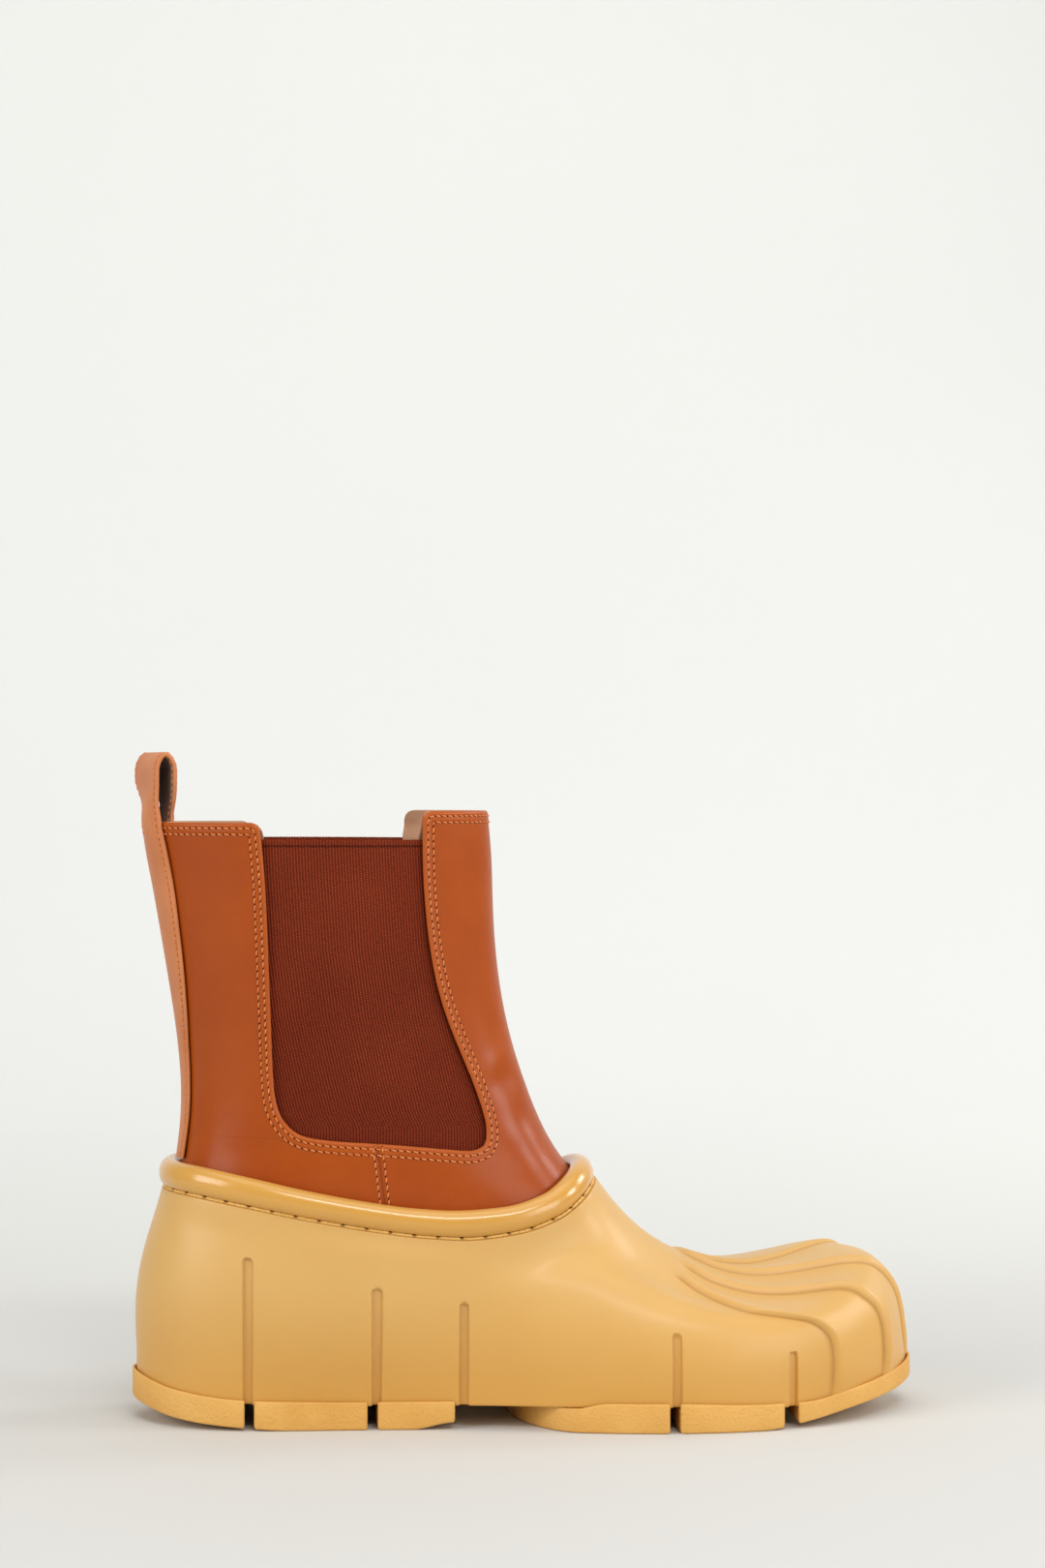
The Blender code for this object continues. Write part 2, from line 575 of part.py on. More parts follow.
def pad_sections(rear, front, rounding, bevel):
    """Cross sections of one tread pad: sole edge, outer wall, lip and seat, from side to side.

    A rounded rear end draws in along an ellipse, and the lip runs out where it leaves the edge.
    """
    heel_end, toe_end = rear <= HEEL_X, front >= TOE_X
    count = 12 if heel_end or toe_end or rounding else 7
    share = np.linspace(0.0, 1.0, count)
    if heel_end or rounding:
        share = 1 - np.cos(share * math.pi / 2)
    if toe_end:
        share = np.sin(share * math.pi / 2)
    seat = -LIP_LAP - CLEARANCE
    corners = [(TREAD_PROUD - PAD_CHAMFER, "ground", 0.0), (TREAD_PROUD, "ground", PAD_CHAMFER),
               (TREAD_PROUD, "lip", -PAD_CHAMFER / 2), (TREAD_PROUD - PAD_CHAMFER / 2, "lip", 0.0),
               (LIP_CLEARANCE, "lip", 0.0), (LIP_CLEARANCE, "lip", seat)]
    outline = []
    for side, order in ((-1, corners), (1, corners[::-1])):
        for out, level, rise in order:
            xs, ys = edge_curve(out, side)
            first = xs[0] if heel_end else rear
            last = xs[-1] if toe_end else front
            x = first + (last - first) * share
            y = np.interp(x, xs, ys)
            z = follow(TREAD["x"], TREAD[level], x)
            drawn = np.clip((rear + rounding - x) / rounding, 0.0, 1.0) if rounding else np.zeros(count)
            if level == "ground":
                z = z + rise + bevel * smooth_step(front - PAD_BEVEL_LENGTH, front, x)
            else:
                z = z + np.maximum(rise + seat * smooth_step(0.0, LIP_END, drawn), seat)
            outline.append([x, y * np.sqrt(1 - drawn ** 2), z])
    return np.moveaxis(np.array(outline), 2, 0)


def end_faces(start, corners):
    """One end of a pad: a strip from its sole up to its seat, and the wall's profile on each side."""
    side = corners // 2
    faces = [tuple(range(side)), tuple(range(side, corners)), (0, corners - 1, side, side - 1)]
    return [tuple(start + corner for corner in face) for face in faces]


def make_pad(name, sizes, parent, finish):
    """One tread pad: its sections joined from rear to front, closed at each end that isn't a tip."""
    rear, front, rounding, bevel = sizes
    sections = pad_sections(rear, front, rounding, bevel)
    count, corners = sections.shape[:2]
    faces = stack_faces(count, corners)
    if rear > HEEL_X and not rounding:
        faces += end_faces(0, corners)
    if front < TOE_X:
        faces += end_faces((count - 1) * corners, corners)
    make_piece(name, sections, faces, finish, parent)


def make_insole(parent, finish):
    """The foam board on the galosh's floor: two rings inside the wall, closed by rungs."""
    rows = np.array([FLOOR_ROW, FLOOR_ROW])
    along, _ = galosh_columns(rows)
    inset = np.full(along.shape, -RUBBER_WALL - INSOLE_INSET)
    rings = lifted(galosh_face, along, np.broadcast_to(rows[:, None], along.shape), inset)
    wall = np.full(along.shape, -RUBBER_WALL)
    floor = lifted(galosh_face, along, np.broadcast_to(rows[:, None], along.shape), wall)
    rings[:, :, 2] = floor[:, :, 2] + CLEARANCE
    rings[1, :, 2] += INSOLE_WALL
    count = rings.shape[1]
    faces = stack_faces(2, count) + ladder_faces(0, count) + ladder_faces(count, count)
    make_piece("insole", rings, faces, finish, parent)


def make_shaft(parent, finish):
    """The leather tube with its wall, and a notch cut out of each side for the elastic."""
    turns = rim_columns()
    bottom = rim_height(turns) - SHAFT_TUCK
    x = shaft_face(turns, np.full_like(turns, COLLAR_BACK))[:, 0]
    rear, front = (np.interp(NOTCH_HEAD, NOTCH["z"], NOTCH[end]) for end in ("rear", "front"))
    top = COLLAR_BACK + (COLLAR_FRONT - COLLAR_BACK) * smooth_step(rear, front, x)
    shares = np.array([0.0, 0.09, 0.18, 0.28, 0.40, 0.54, 0.70, 0.86, 1.0])
    z = bottom + (top - bottom) * shares[:, None]
    around = np.broadcast_to(turns, z.shape)
    outside = lifted(shaft_face, around, z, np.zeros(z.shape))
    inside = lifted(shaft_face, around, z, np.full(z.shape, -LEATHER_WALL))[::-1]
    rings = np.concatenate([outside, inside])
    rows, count = rings.shape[:2]
    shaft = make_piece("shaft", rings, stack_faces(rows, count, looped=True), finish, parent)
    for name, side, shift in (("notch_outer", -1, 0.0), ("notch_inner", 1, NOTCH_SHIFT_INNER)):
        rear = np.stack([NOTCH["rear"] + shift, NOTCH["z"]], axis=-1)
        front = np.stack([NOTCH["front"] + shift, NOTCH["z"]], axis=-1)[::-1]
        outline = np.concatenate([rear, front])
        count = len(outline)
        points = [np.stack([outline[:, 0], np.full(count, side * depth), outline[:, 1]], axis=-1)
                  for depth in NOTCH_REACH]
        faces = stack_faces(2, count) + [tuple(range(count)), tuple(range(2 * count - 1, count - 1, -1))]
        cut_away(shaft, make_piece(name, np.concatenate(points), faces, None, parent))


def turn_at(x, z, side):
    """Turn round the shaft at which its outside reaches x at height z, on one side."""
    turns = np.linspace(0.0, 0.5, 1001)
    found = np.empty_like(x)
    for row in range(x.shape[0]):
        reach = shaft_face(turns, np.full_like(turns, z[row, 0]))[:, 0]
        found[row] = np.interp(x[row], reach, turns)
    return found if side < 0 else 1 - found


def make_gore(name, side, shift, parent, finish):
    """One elastic panel: a sheet that follows the leather's inside and laps the notch all round."""
    levels = np.array([GORE_BOTTOM, 98.0, 108.0, 120.0, 136.0, 154.0, 180.0, GORE_TOP])
    held = np.clip(levels, NOTCH_FOOT, NOTCH_HEAD)
    rear = np.interp(held, NOTCH["z"], NOTCH["rear"]) - GORE_OVERLAP + shift
    front = np.interp(held, NOTCH["z"], NOTCH["front"]) + GORE_OVERLAP + shift
    shares = np.linspace(0.0, 1.0, 11)
    x = rear[:, None] + (front - rear)[:, None] * shares
    z = np.broadcast_to(levels[:, None], x.shape)
    turns = turn_at(x, z, side)
    lift = -LEATHER_WALL - GORE_CLEARANCE
    sheets = [lifted(shaft_face, turns, z, np.full(x.shape, depth)) for depth in (lift, lift - GORE_WALL)]
    make_piece(name, np.concatenate(sheets), slab_faces(*x.shape), finish, parent)


def back_turn(reach, z):
    """Turn at which the back of the shaft lies a given way round from its middle."""
    step = np.full_like(z, 1e-3)
    spread = np.linalg.norm(shaft_face(step, z) - shaft_face(-step, z), axis=-1) / (2 * step)
    return -reach / spread


def make_back_strip(parent, finish):
    """The strip over the back seam, from the rim to the foot of the pull loop."""
    levels = np.linspace(STRIP_BOTTOM, STRIP_TOP, 9)
    half = np.interp(levels, [STRIP_BOTTOM, STRIP_TOP], [STRIP_HALF_BOTTOM, STRIP_HALF_TOP])
    reach = half[:, None] * np.linspace(-1.0, 1.0, 9)
    z = np.broadcast_to(levels[:, None], reach.shape)
    turns = back_turn(reach, z)
    sheets = [lifted(shaft_face, turns, z, np.full(z.shape, lift))
              for lift in (CLEARANCE + STRIP_WALL, CLEARANCE)]
    make_piece("back_strip", np.concatenate(sheets), slab_faces(*z.shape), finish, parent)


def loop_middle(share, across):
    """Middle of the loop's strap: it hugs the collar at both ends, and turns flat and twisted above."""
    knots = np.linspace(0.0, 1.0, len(LOOP_PATH["z"]))
    weights = spline_weights(knots, share)
    x, z = weights @ LOOP_PATH["x"], weights @ LOOP_PATH["z"]
    hug = follow(knots, LOOP_PATH["hug"], share)
    flat = np.stack([x - LOOP_HALF_WIDTH * across * math.sin(LOOP_TWIST),
                     LOOP_HALF_WIDTH * across * math.cos(LOOP_TWIST), z], axis=-1)
    back = shaft_face(np.zeros_like(z), z)
    hugging = lifted(shaft_face, back_turn(LOOP_HALF_WIDTH * across, z), z, back[..., 0] - x)
    return hugging * hug[..., None] + flat * (1 - hug[..., None])


def make_pull_loop(parent, finish):
    """The strap loop: a strip carried over a narrow drop-shaped path above the collar."""
    ends = len(LOOP_PATH["z"]) - 1
    bend = np.arange(LOOP_BEND, ends - LOOP_BEND, 0.5)
    steps = np.concatenate([np.arange(LOOP_BEND), bend, np.arange(ends - LOOP_BEND, ends + 1)])
    share, across = np.meshgrid(steps / ends, np.linspace(-1.0, 1.0, 7), indexing="ij")
    half = np.full(share.shape, LOOP_WALL / 2)
    sheets = [lifted(loop_middle, share, across, lift) for lift in (half, -half)]
    make_piece("pull_loop", np.concatenate(sheets), slab_faces(*share.shape), finish, parent)


for leftover in list(bpy.data.objects):
    bpy.data.objects.remove(leftover, do_unlink=True)

boot = bpy.data.objects.new("boot", None)
bpy.context.collection.objects.link(boot)
finishes = {name: make_finish(name) for name in FINISHES}

make_galosh(boot, finishes["yellow_rubber"])
for pad_name, pad_sizes in PADS.items():
    make_pad(pad_name, pad_sizes, boot, finishes["tread_rubber"])
make_insole(boot, finishes["insole_foam"])
make_shaft(boot, finishes["tan_leather"])
make_gore("gore_outer", -1, 0.0, boot, finishes["rust_elastic"])
make_gore("gore_inner", 1, NOTCH_SHIFT_INNER, boot, finishes["rust_elastic"])
make_back_strip(boot, finishes["tan_leather"])
make_pull_loop(boot, finishes["tan_leather"])
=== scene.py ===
"""The looks of the rain boot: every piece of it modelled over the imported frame, on a pale studio floor."""
import math

import bmesh
import bpy
import numpy as np
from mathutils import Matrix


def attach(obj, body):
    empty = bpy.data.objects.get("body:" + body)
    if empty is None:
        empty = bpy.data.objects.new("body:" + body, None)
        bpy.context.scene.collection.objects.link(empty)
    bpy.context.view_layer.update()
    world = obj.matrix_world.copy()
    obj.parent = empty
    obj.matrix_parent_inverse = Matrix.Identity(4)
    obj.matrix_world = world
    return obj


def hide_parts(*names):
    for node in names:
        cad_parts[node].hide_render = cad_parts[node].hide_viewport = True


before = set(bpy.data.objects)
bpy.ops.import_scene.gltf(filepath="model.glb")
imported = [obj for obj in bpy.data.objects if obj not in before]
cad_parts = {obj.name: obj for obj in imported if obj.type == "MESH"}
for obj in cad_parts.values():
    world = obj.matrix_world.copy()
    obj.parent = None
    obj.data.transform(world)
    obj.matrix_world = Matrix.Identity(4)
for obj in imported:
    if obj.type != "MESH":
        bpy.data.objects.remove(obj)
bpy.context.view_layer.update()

# Leather shaft
# Smooth tan leather, 1.6 mm thick, cut with a deep notch on each side, closed under the notches by
# a sewn side seam, and set into the galosh's rim. Its cut edges are rolled and stitched twice.
MM = 0.001
OUTER, INNER = -1, 1                         # sides of the boot, by the sign of y
LEATHER_WALL = 1.6
COLLAR_BACK, COLLAR_FRONT = 211.5, 215.6     # top of the leather behind and in front of the elastic
SHAFT_TUCK = 7.0                             # leather below the rim's stitch line
CORNER = 4.0                                 # radius of a flap's upper corner
STITCH_INSET = (1.9, 4.1)                    # two rows of stitches along every cut edge
STITCH_PITCH = 2.6
SEAM_FOOT, SEAM_HEAD = (-52.6, 79.0), (-55.0, 99.0)   # side seam below the elastic, as x and height
SEAM_SWELL, SWELL_AT, SWELL_REACH = 0.2, 2.0, 1.4     # the fold on each side of the seam
SEAM_SINK, SINK_REACH, NO_SEAM = 0.4, 0.9, 9.0        # its trough, and a reach where there is none
SHIFT = {OUTER: 0.0, INNER: -3.0}            # the inner notch lies a little further back
EDGE_ROLL, ROLL_REACH, EDGE_PILLOW = 0.45, 0.45, 0.12   # a cut edge turns in, and swells beside it
EDGE_STEPS = np.array([0, .25, .55, .9, 1.3, 1.7, 2.1, 2.6, 3.2, 3.7, 4.1, 4.6, 5.2])
STRIP_START, STRIP_ROWS = 7.0, (48, 66, 52)  # plain rows beside the notch: down, along and up
STRIP_TURN = (8.0, 30.0)                     # way below the collar in which columns turn square
FLAP_COLUMNS, RING_ROWS = (41, 37), 15       # back and front flap, and the leather below the notches
EDGE_PITCH = 0.35                            # of the points along a cut edge


def table(columns, rows):
    """Rows of numbers as arrays, one for each named column."""
    return dict(zip(columns.split(), np.array(rows, dtype=float).T))


SHAFT = table("z back front half_width square", [
    (56, -127.6, 34.0, 32.6, 0.060), (72, -126.0, 26.6, 33.4, 0.055), (84, -124.8, 17.8, 33.8, 0.048),
    (96, -123.2, 9.2, 33.4, 0.036), (112, -122.1, 1.7, 32.9, 0.022), (128, -122.8, -3.9, 33.0, 0.012),
    (150, -125.6, -9.0, 33.6, 0.002), (180, -130.6, -11.9, 34.6, -0.008),
    (200, -134.0, -12.6, 35.2, -0.012), (216, -136.6, -14.0, 35.6, -0.014),
])
RIM_LINE = table("x z", [
    (-131, 81.2), (-118, 80.2), (-101, 77.5), (-80, 73.2), (-58, 69.0), (-44, 66.8),
    (-29, 65.7), (-14, 67.1), (2, 71.2), (10, 74.6), (22, 80.6),
])
RIM_LEVEL = 80.0
NOTCH = table("x z", [
    (-96.3, 214.0), (-95.7, 206.5), (-94.4, 192.0), (-93.2, 167.0), (-92.3, 143.5), (-91.3, 121.0),
    (-89.2, 110.0), (-85.0, 104.5), (-79.0, 101.6), (-56.0, 99.4), (-38.0, 97.8), (-25.0, 96.5),
    (-21.0, 96.5), (-17.6, 97.8), (-16.5, 99.4), (-16.2, 101.6), (-16.2, 104.5), (-17.4, 110.0),
    (-21.2, 121.0), (-30.3, 143.5), (-36.0, 167.0), (-38.4, 192.0), (-38.7, 206.5), (-38.7, 218.0),
])


def spline_weights(knots, at, period=0.0):
    """Weight of each knot's value at each place, on a cubic spline with continuous curvature.

    The bends at the knots solve the usual three-term system; natural ends, or closed by a period.
    """
    count = len(knots)
    ends = np.append(knots, knots[0] + period) if period else knots
    at = knots[0] + np.mod(at - knots[0], period) if period else np.asarray(at, dtype=float)
    spans, one = np.diff(ends), np.eye(count)
    inner = np.arange(count) if period else np.arange(1, count - 1)
    before, after = spans[inner - 1, None], spans[inner, None]
    left, here, right = one[inner - 1], one[inner], one[(inner + 1) % count]
    system, pull = np.eye(count), np.zeros((count, count))
    system[inner] = (before * left + after * right) / 6 + (before + after) / 3 * here
    pull[inner] = (left - here) / before + (right - here) / after
    bend = np.linalg.solve(system, pull)
    span = np.clip(np.searchsorted(ends, at, side="right") - 1, 0, len(spans) - 1)
    after, width = (span + 1) % count, spans[span]
    near = (ends[span + 1] - at) / width
    far = 1 - near
    weights = near[..., None] * one[span] + far[..., None] * one[after]
    weights += ((near ** 3 - near) * width ** 2 / 6)[..., None] * bend[span]
    weights += ((far ** 3 - far) * width ** 2 / 6)[..., None] * bend[after]
    return weights


def follow(xs, ys, at):
    """Monotone cubic through a table's points: weighted harmonic slopes, so it never overshoots."""
    at = np.clip(at, xs[0], xs[-1])
    spans = np.diff(xs)
    slopes = np.diff(ys) / spans
    before, after = slopes[:-1], slopes[1:]
    heavy, light = 2 * spans[1:] + spans[:-1], spans[1:] + 2 * spans[:-1]
    same = before * after > 0
    safe_before, safe_after = np.where(same, before, 1.0), np.where(same, after, 1.0)
    inner = np.where(same, (heavy + light) / (heavy / safe_before + light / safe_after), 0.0)
    tangents = np.concatenate([slopes[:1], inner, slopes[-1:]])
    span = np.clip(np.searchsorted(xs, at, side="right") - 1, 0, len(spans) - 1)
    width = spans[span]
    u = (at - xs[span]) / width
    value = ys[span] * (1 + 2 * u) * (1 - u) ** 2 + ys[span + 1] * u ** 2 * (3 - 2 * u)
    return value + width * (tangents[span] * u * (1 - u) ** 2 - tangents[span + 1] * u ** 2 * (1 - u))


def smooth_step(low, high, at):
    """Rise from 0 at low to 1 at high, level at both ends: three u squared less two u cubed."""
    u = np.clip((at - low) / (high - low), 0.0, 1.0)
    return u * u * (3 - 2 * u)


def unit(way):
    """Directions with their lengths made one."""
    return way / np.linalg.norm(way, axis=-1, keepdims=True)


def pace_along(line, power=1.0):
    """Distance along a line of points, with each step raised to a power."""
    return np.append(0.0, np.cumsum(np.linalg.norm(np.diff(line, axis=0), axis=1) ** power))


def outward(face, u, v):
    """Unit normal of a face, the cross product of small steps in its two parameters."""
    step = 1e-4
    return unit(np.cross(face(u + step, v) - face(u - step, v), face(u, v + step) - face(u, v - step)))


def lifted(face, u, v, lift):
    """Points of a face moved out along its normal by lift."""
    return face(u, v) + np.asarray(lift, dtype=float)[..., None] * outward(face, u, v)


def shaft_face(turn, z):
    """Outside of the leather: at each height an oval, squared a little by a third harmonic."""
    turn, z = np.broadcast_arrays(np.asarray(turn, dtype=float), np.asarray(z, dtype=float))
    weights = spline_weights(SHAFT["z"], z)
    back, front, half_width, square = (weights @ SHAFT[name]
                                       for name in ("back", "front", "half_width", "square"))
    angle = 2 * math.pi * turn
    along = (np.cos(angle) - square * np.cos(3 * angle)) / (1 - square)
    across = (np.sin(angle) + square * np.sin(3 * angle)) / (1 - square)
    return np.stack([(back + front) / 2 - (front - back) / 2 * along, -half_width * across, z], axis=-1)


def rim_height(turn):
    """Height of the stitch line round the rim, read off its side view."""
    return follow(RIM_LINE["x"], RIM_LINE["z"], shaft_face(turn, RIM_LEVEL)[..., 0])


def turn_at(x, z):
    """Turn on the outer side at which the leather's outside reaches x at height z, by halving."""
    low, high = np.zeros_like(x), np.full_like(x, 0.5)
    for _ in range(36):
        middle = (low + high) / 2
        short = shaft_face(middle, z)[..., 0] < x
        low, high = np.where(short, middle, low), np.where(short, high, middle)
    return (low + high) / 2


def on_leather(turn, z, way):
    """Change of turn and of height for a millimetre in a given direction along the leather.

    The direction is resolved on the two tangents of the face, which needn't be square to each other.
    """
    step = 1e-3
    around = (shaft_face(turn + step, z) - shaft_face(turn - step, z)) / (2 * step)
    up = (shaft_face(turn, z + step) - shaft_face(turn, z - step)) / (2 * step)
    aa, au, uu = ((p * q).sum(-1) for p, q in ((around, around), (around, up), (up, up)))
    a, u = (way * around).sum(-1), (way * up).sum(-1)
    area = aa * uu - au * au
    return (uu * a - au * u) / area, (aa * u - au * a) / area


def into_leather(turn, z, side):
    """Direction along the leather, square to an edge that runs from the back to the front."""
    heading = np.gradient(shaft_face(turn, z), axis=0)
    return unit(-side * np.cross(heading, outward(shaft_face, turn, z)))


def rounded_corner(a, b):
    """Distances from two edges drawn in so that their corner is a quarter circle.

    Each coordinate of the corner's square shrinks by the root of one less half the other's square.
    """
    p, q = np.clip(1 - a / CORNER, 0, None), np.clip(1 - b / CORNER, 0, None)
    inside = p * q > 0
    return (np.where(inside, CORNER * (1 - p * np.sqrt(1 - q * q / 2)), a),
            np.where(inside, CORNER * (1 - q * np.sqrt(1 - p * p / 2)), b))


def notch_strip(side):
    """Turn and height of a strip along one notch, from the back collar round to the front collar.

    Its rows follow the outline's spline, its columns lie at EDGE_STEPS from the cut, square to it.
    """
    points = np.stack([NOTCH["x"], NOTCH["z"]], axis=-1)
    knots = pace_along(points, 0.5)
    fine = spline_weights(knots, np.linspace(0, knots[-1], 6001)) @ points
    pace = pace_along(fine)
    level = np.abs(np.gradient(fine[:, 1])) < np.abs(np.gradient(fine[:, 0]))
    lowest = np.argmin(fine[:, 1])
    first = np.interp(-COLLAR_BACK, -fine[:lowest, 1], pace[:lowest])
    last = np.interp(COLLAR_FRONT, fine[lowest:, 1], pace[lowest:])
    bend, unbend = pace[np.flatnonzero(level)[[0, -1]]]
    rear = np.append(first + EDGE_STEPS, np.linspace(first + STRIP_START, bend, STRIP_ROWS[0]))
    foot = np.linspace(bend, unbend, STRIP_ROWS[1])[1:-1]
    front = np.append(np.linspace(unbend, last - STRIP_START, STRIP_ROWS[2]), last - EDGE_STEPS[::-1])
    at = np.concatenate([rear, foot, front])
    x, z = np.interp(at, pace, fine[:, 0]), np.interp(at, pace, fine[:, 1])
    turn = -side * turn_at(x + SHIFT[side], z)
    collar = np.where(np.arange(len(at)) < len(rear) + len(foot) // 2, COLLAR_BACK, COLLAR_FRONT)
    way = into_leather(turn, z, side)
    way[:, 2] *= smooth_step(*STRIP_TURN, collar - z)
    by_turn, by_height = on_leather(turn, z, unit(way))
    reach, drop = rounded_corner(*np.broadcast_arrays(EDGE_STEPS, (collar - z)[:, None]))
    moved = collar[:, None] - drop
    rise = moved - z[:, None]
    shift = np.where(np.abs(rise) > 1e-9, rise * np.gradient(turn)[:, None] / np.gradient(z)[:, None], 0.0)
    turns = turn[:, None] + shift + reach * by_turn[:, None]
    return turns, moved + reach * by_height[:, None], len(rear), len(foot)


strips = {side: notch_strip(side) for side in (OUTER, INNER)}
rear_rows, foot_rows = strips[OUTER][2:]


def between(start, end, count):
    """Even steps from one line of points to another, as columns."""
    share = np.linspace(0.0, 1.0, count)
    return start[..., None] * (1 - share) + end[..., None] * share


def leather_blocks():
    """Turn and height of the leather's blocks: two strips, the rear and front flaps, and the ring below."""
    out_turn, out_z, in_turn, in_z = (strips[side][kind][:, -1] for side in (OUTER, INNER) for kind in (0, 1))
    rear, front = slice(0, rear_rows), slice(rear_rows + foot_rows, None)
    foot = slice(rear_rows - 1, rear_rows + foot_rows + 1)
    back_flap = [between(start[rear], end[rear], FLAP_COLUMNS[0])
                 for start, end in ((in_turn, out_turn), (in_z, out_z))]
    front_flap = [between(start[front], end[front], FLAP_COLUMNS[1])
                  for start, end in ((out_turn, in_turn + 1), (out_z, in_z))]
    head, top = (np.concatenate([back_flap[kind][-1], out[foot][1:], front_flap[kind][0][1:],
                                 back[foot][::-1][1:]])
                 for kind, out, back in ((0, out_turn, in_turn + 1), (1, out_z, in_z)))
    ring = (np.broadcast_to(head, (RING_ROWS, len(head))),
            between(top, rim_height(head) - SHAFT_TUCK, RING_ROWS).T)
    return [strips[OUTER][:2], strips[INNER][:2], back_flap, front_flap, ring]


def edge_line(side):
    """The leather's cut edge on one side, from the middle of the back to the middle of the front.

    Along the collar, round the corner, down and up the notch: turn, height and pace at even steps.
    """
    turn, z = strips[side][:2]
    share = np.linspace(0.0, 1.0, 30)
    level = np.ones(len(share) - 1)
    front = -0.5 * side
    turns = np.concatenate([turn[0, -1] * share[:-1], turn[0, ::-1], turn[1:-1, 0], turn[-1],
                            (turn[-1, -1] + (front - turn[-1, -1]) * share)[1:]])
    heights = np.concatenate([COLLAR_BACK * level, z[0, ::-1], z[1:-1, 0], z[-1], COLLAR_FRONT * level])
    pace = pace_along(shaft_face(turns, heights))
    at = np.arange(0.0, pace[-1], EDGE_PITCH)
    return np.interp(at, pace, turns), np.interp(at, pace, heights), at


edges = {side: edge_line(side) for side in (OUTER, INNER)}


def nearest(points, line):
    """Distance from each point to the nearest point of a line, and the number of that one."""
    away = [np.linalg.norm(part[:, None] - line, axis=-1) for part in np.array_split(points, 12)]
    return [np.concatenate([find(part, axis=1) for part in away]) for find in (np.min, np.argmin)]


def grid_faces(rows, columns, start=0, flip=False, closed=False):
    """Quads of a grid of points, as indices; closed joins the last column to the first."""
    row, column = np.indices((rows - 1, columns if closed else columns - 1))
    here, below, after = row * columns, (row + 1) * columns, (column + 1) % columns
    corners = [here + column, here + after, below + after, below + column]
    return (start + np.stack(corners[::-1] if flip else corners, axis=-1).reshape(-1, 4)).tolist()


def make_piece(name, points, faces, finishes, uv=None, sharp=40, **values):
    """A mesh object from points in millimetres: doubles merged, smooth shaded, with maps per point."""
    mesh = bpy.data.meshes.new(name)
    mesh.from_pydata((np.asarray(points).reshape(-1, 3) * MM).tolist(), [], faces)
    for key, value in values.items():
        kept = mesh.attributes.new(key, "FLOAT", "POINT")
        kept.data.foreach_set("value", np.asarray(value, np.float32).ravel())
    if uv is not None:
        corner = np.empty(len(mesh.loops), np.int32)
        mesh.loops.foreach_get("vertex_index", corner)
        kept = mesh.uv_layers.new(name="UVMap")
        kept.data.foreach_set("uv", uv.reshape(-1, 2)[corner].astype(np.float32).ravel())
    work = bmesh.new()
    work.from_mesh(mesh)
    bmesh.ops.remove_doubles(work, verts=work.verts, dist=2e-6)
    bmesh.ops.dissolve_degenerate(work, edges=work.edges, dist=1e-7)
    work.to_mesh(mesh)
    work.free()
    mesh.shade_smooth()
    mesh.set_sharp_from_angle(angle=math.radians(sharp))
    for finish in finishes:
        mesh.materials.append(finish.material)
    piece = bpy.data.objects.new(name, mesh)
    bpy.context.collection.objects.link(piece)
    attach(piece, "root")
    return piece


def shell(name, blocks, lift, finishes, **values):
    """Several blocks of turn and height as one skin over the leather's face, each turned outwards."""
    points, faces, start = [], [], 0
    for turn, z in blocks:
        skin = lifted(shaft_face, turn, z, lift[start:start + turn.size].reshape(turn.shape))
        row, column = turn.shape[0] // 2, turn.shape[1] // 2
        corner = skin[row, column]
        facing = np.cross(skin[row, column + 1] - corner, skin[row + 1, column] - corner)
        flip = facing @ outward(shaft_face, turn[row, column], z[row, column]) < 0
        faces += grid_faces(*turn.shape, start, flip)
        points.append(skin.reshape(-1, 3))
        start += turn.size
    return make_piece(name, np.concatenate(points), faces, finishes, **values)


def thicken(piece, wall, rim=0):
    """Give a skin its wall on its inner side; rim is the material of its cut edges."""
    solid = piece.modifiers.new("wall", "SOLIDIFY")
    solid.thickness = wall * MM
    solid.offset = -1.0
    solid.use_even_offset = False
    solid.material_offset_rim = rim


def paint(red, green, blue):
    """A display colour of 0 to 255 as a linear one."""
    value = np.array([red, green, blue]) / 255
    return (*np.where(value < 0.04045, value / 12.92, ((value + 0.055) / 1.055) ** 2.4), 1.0)


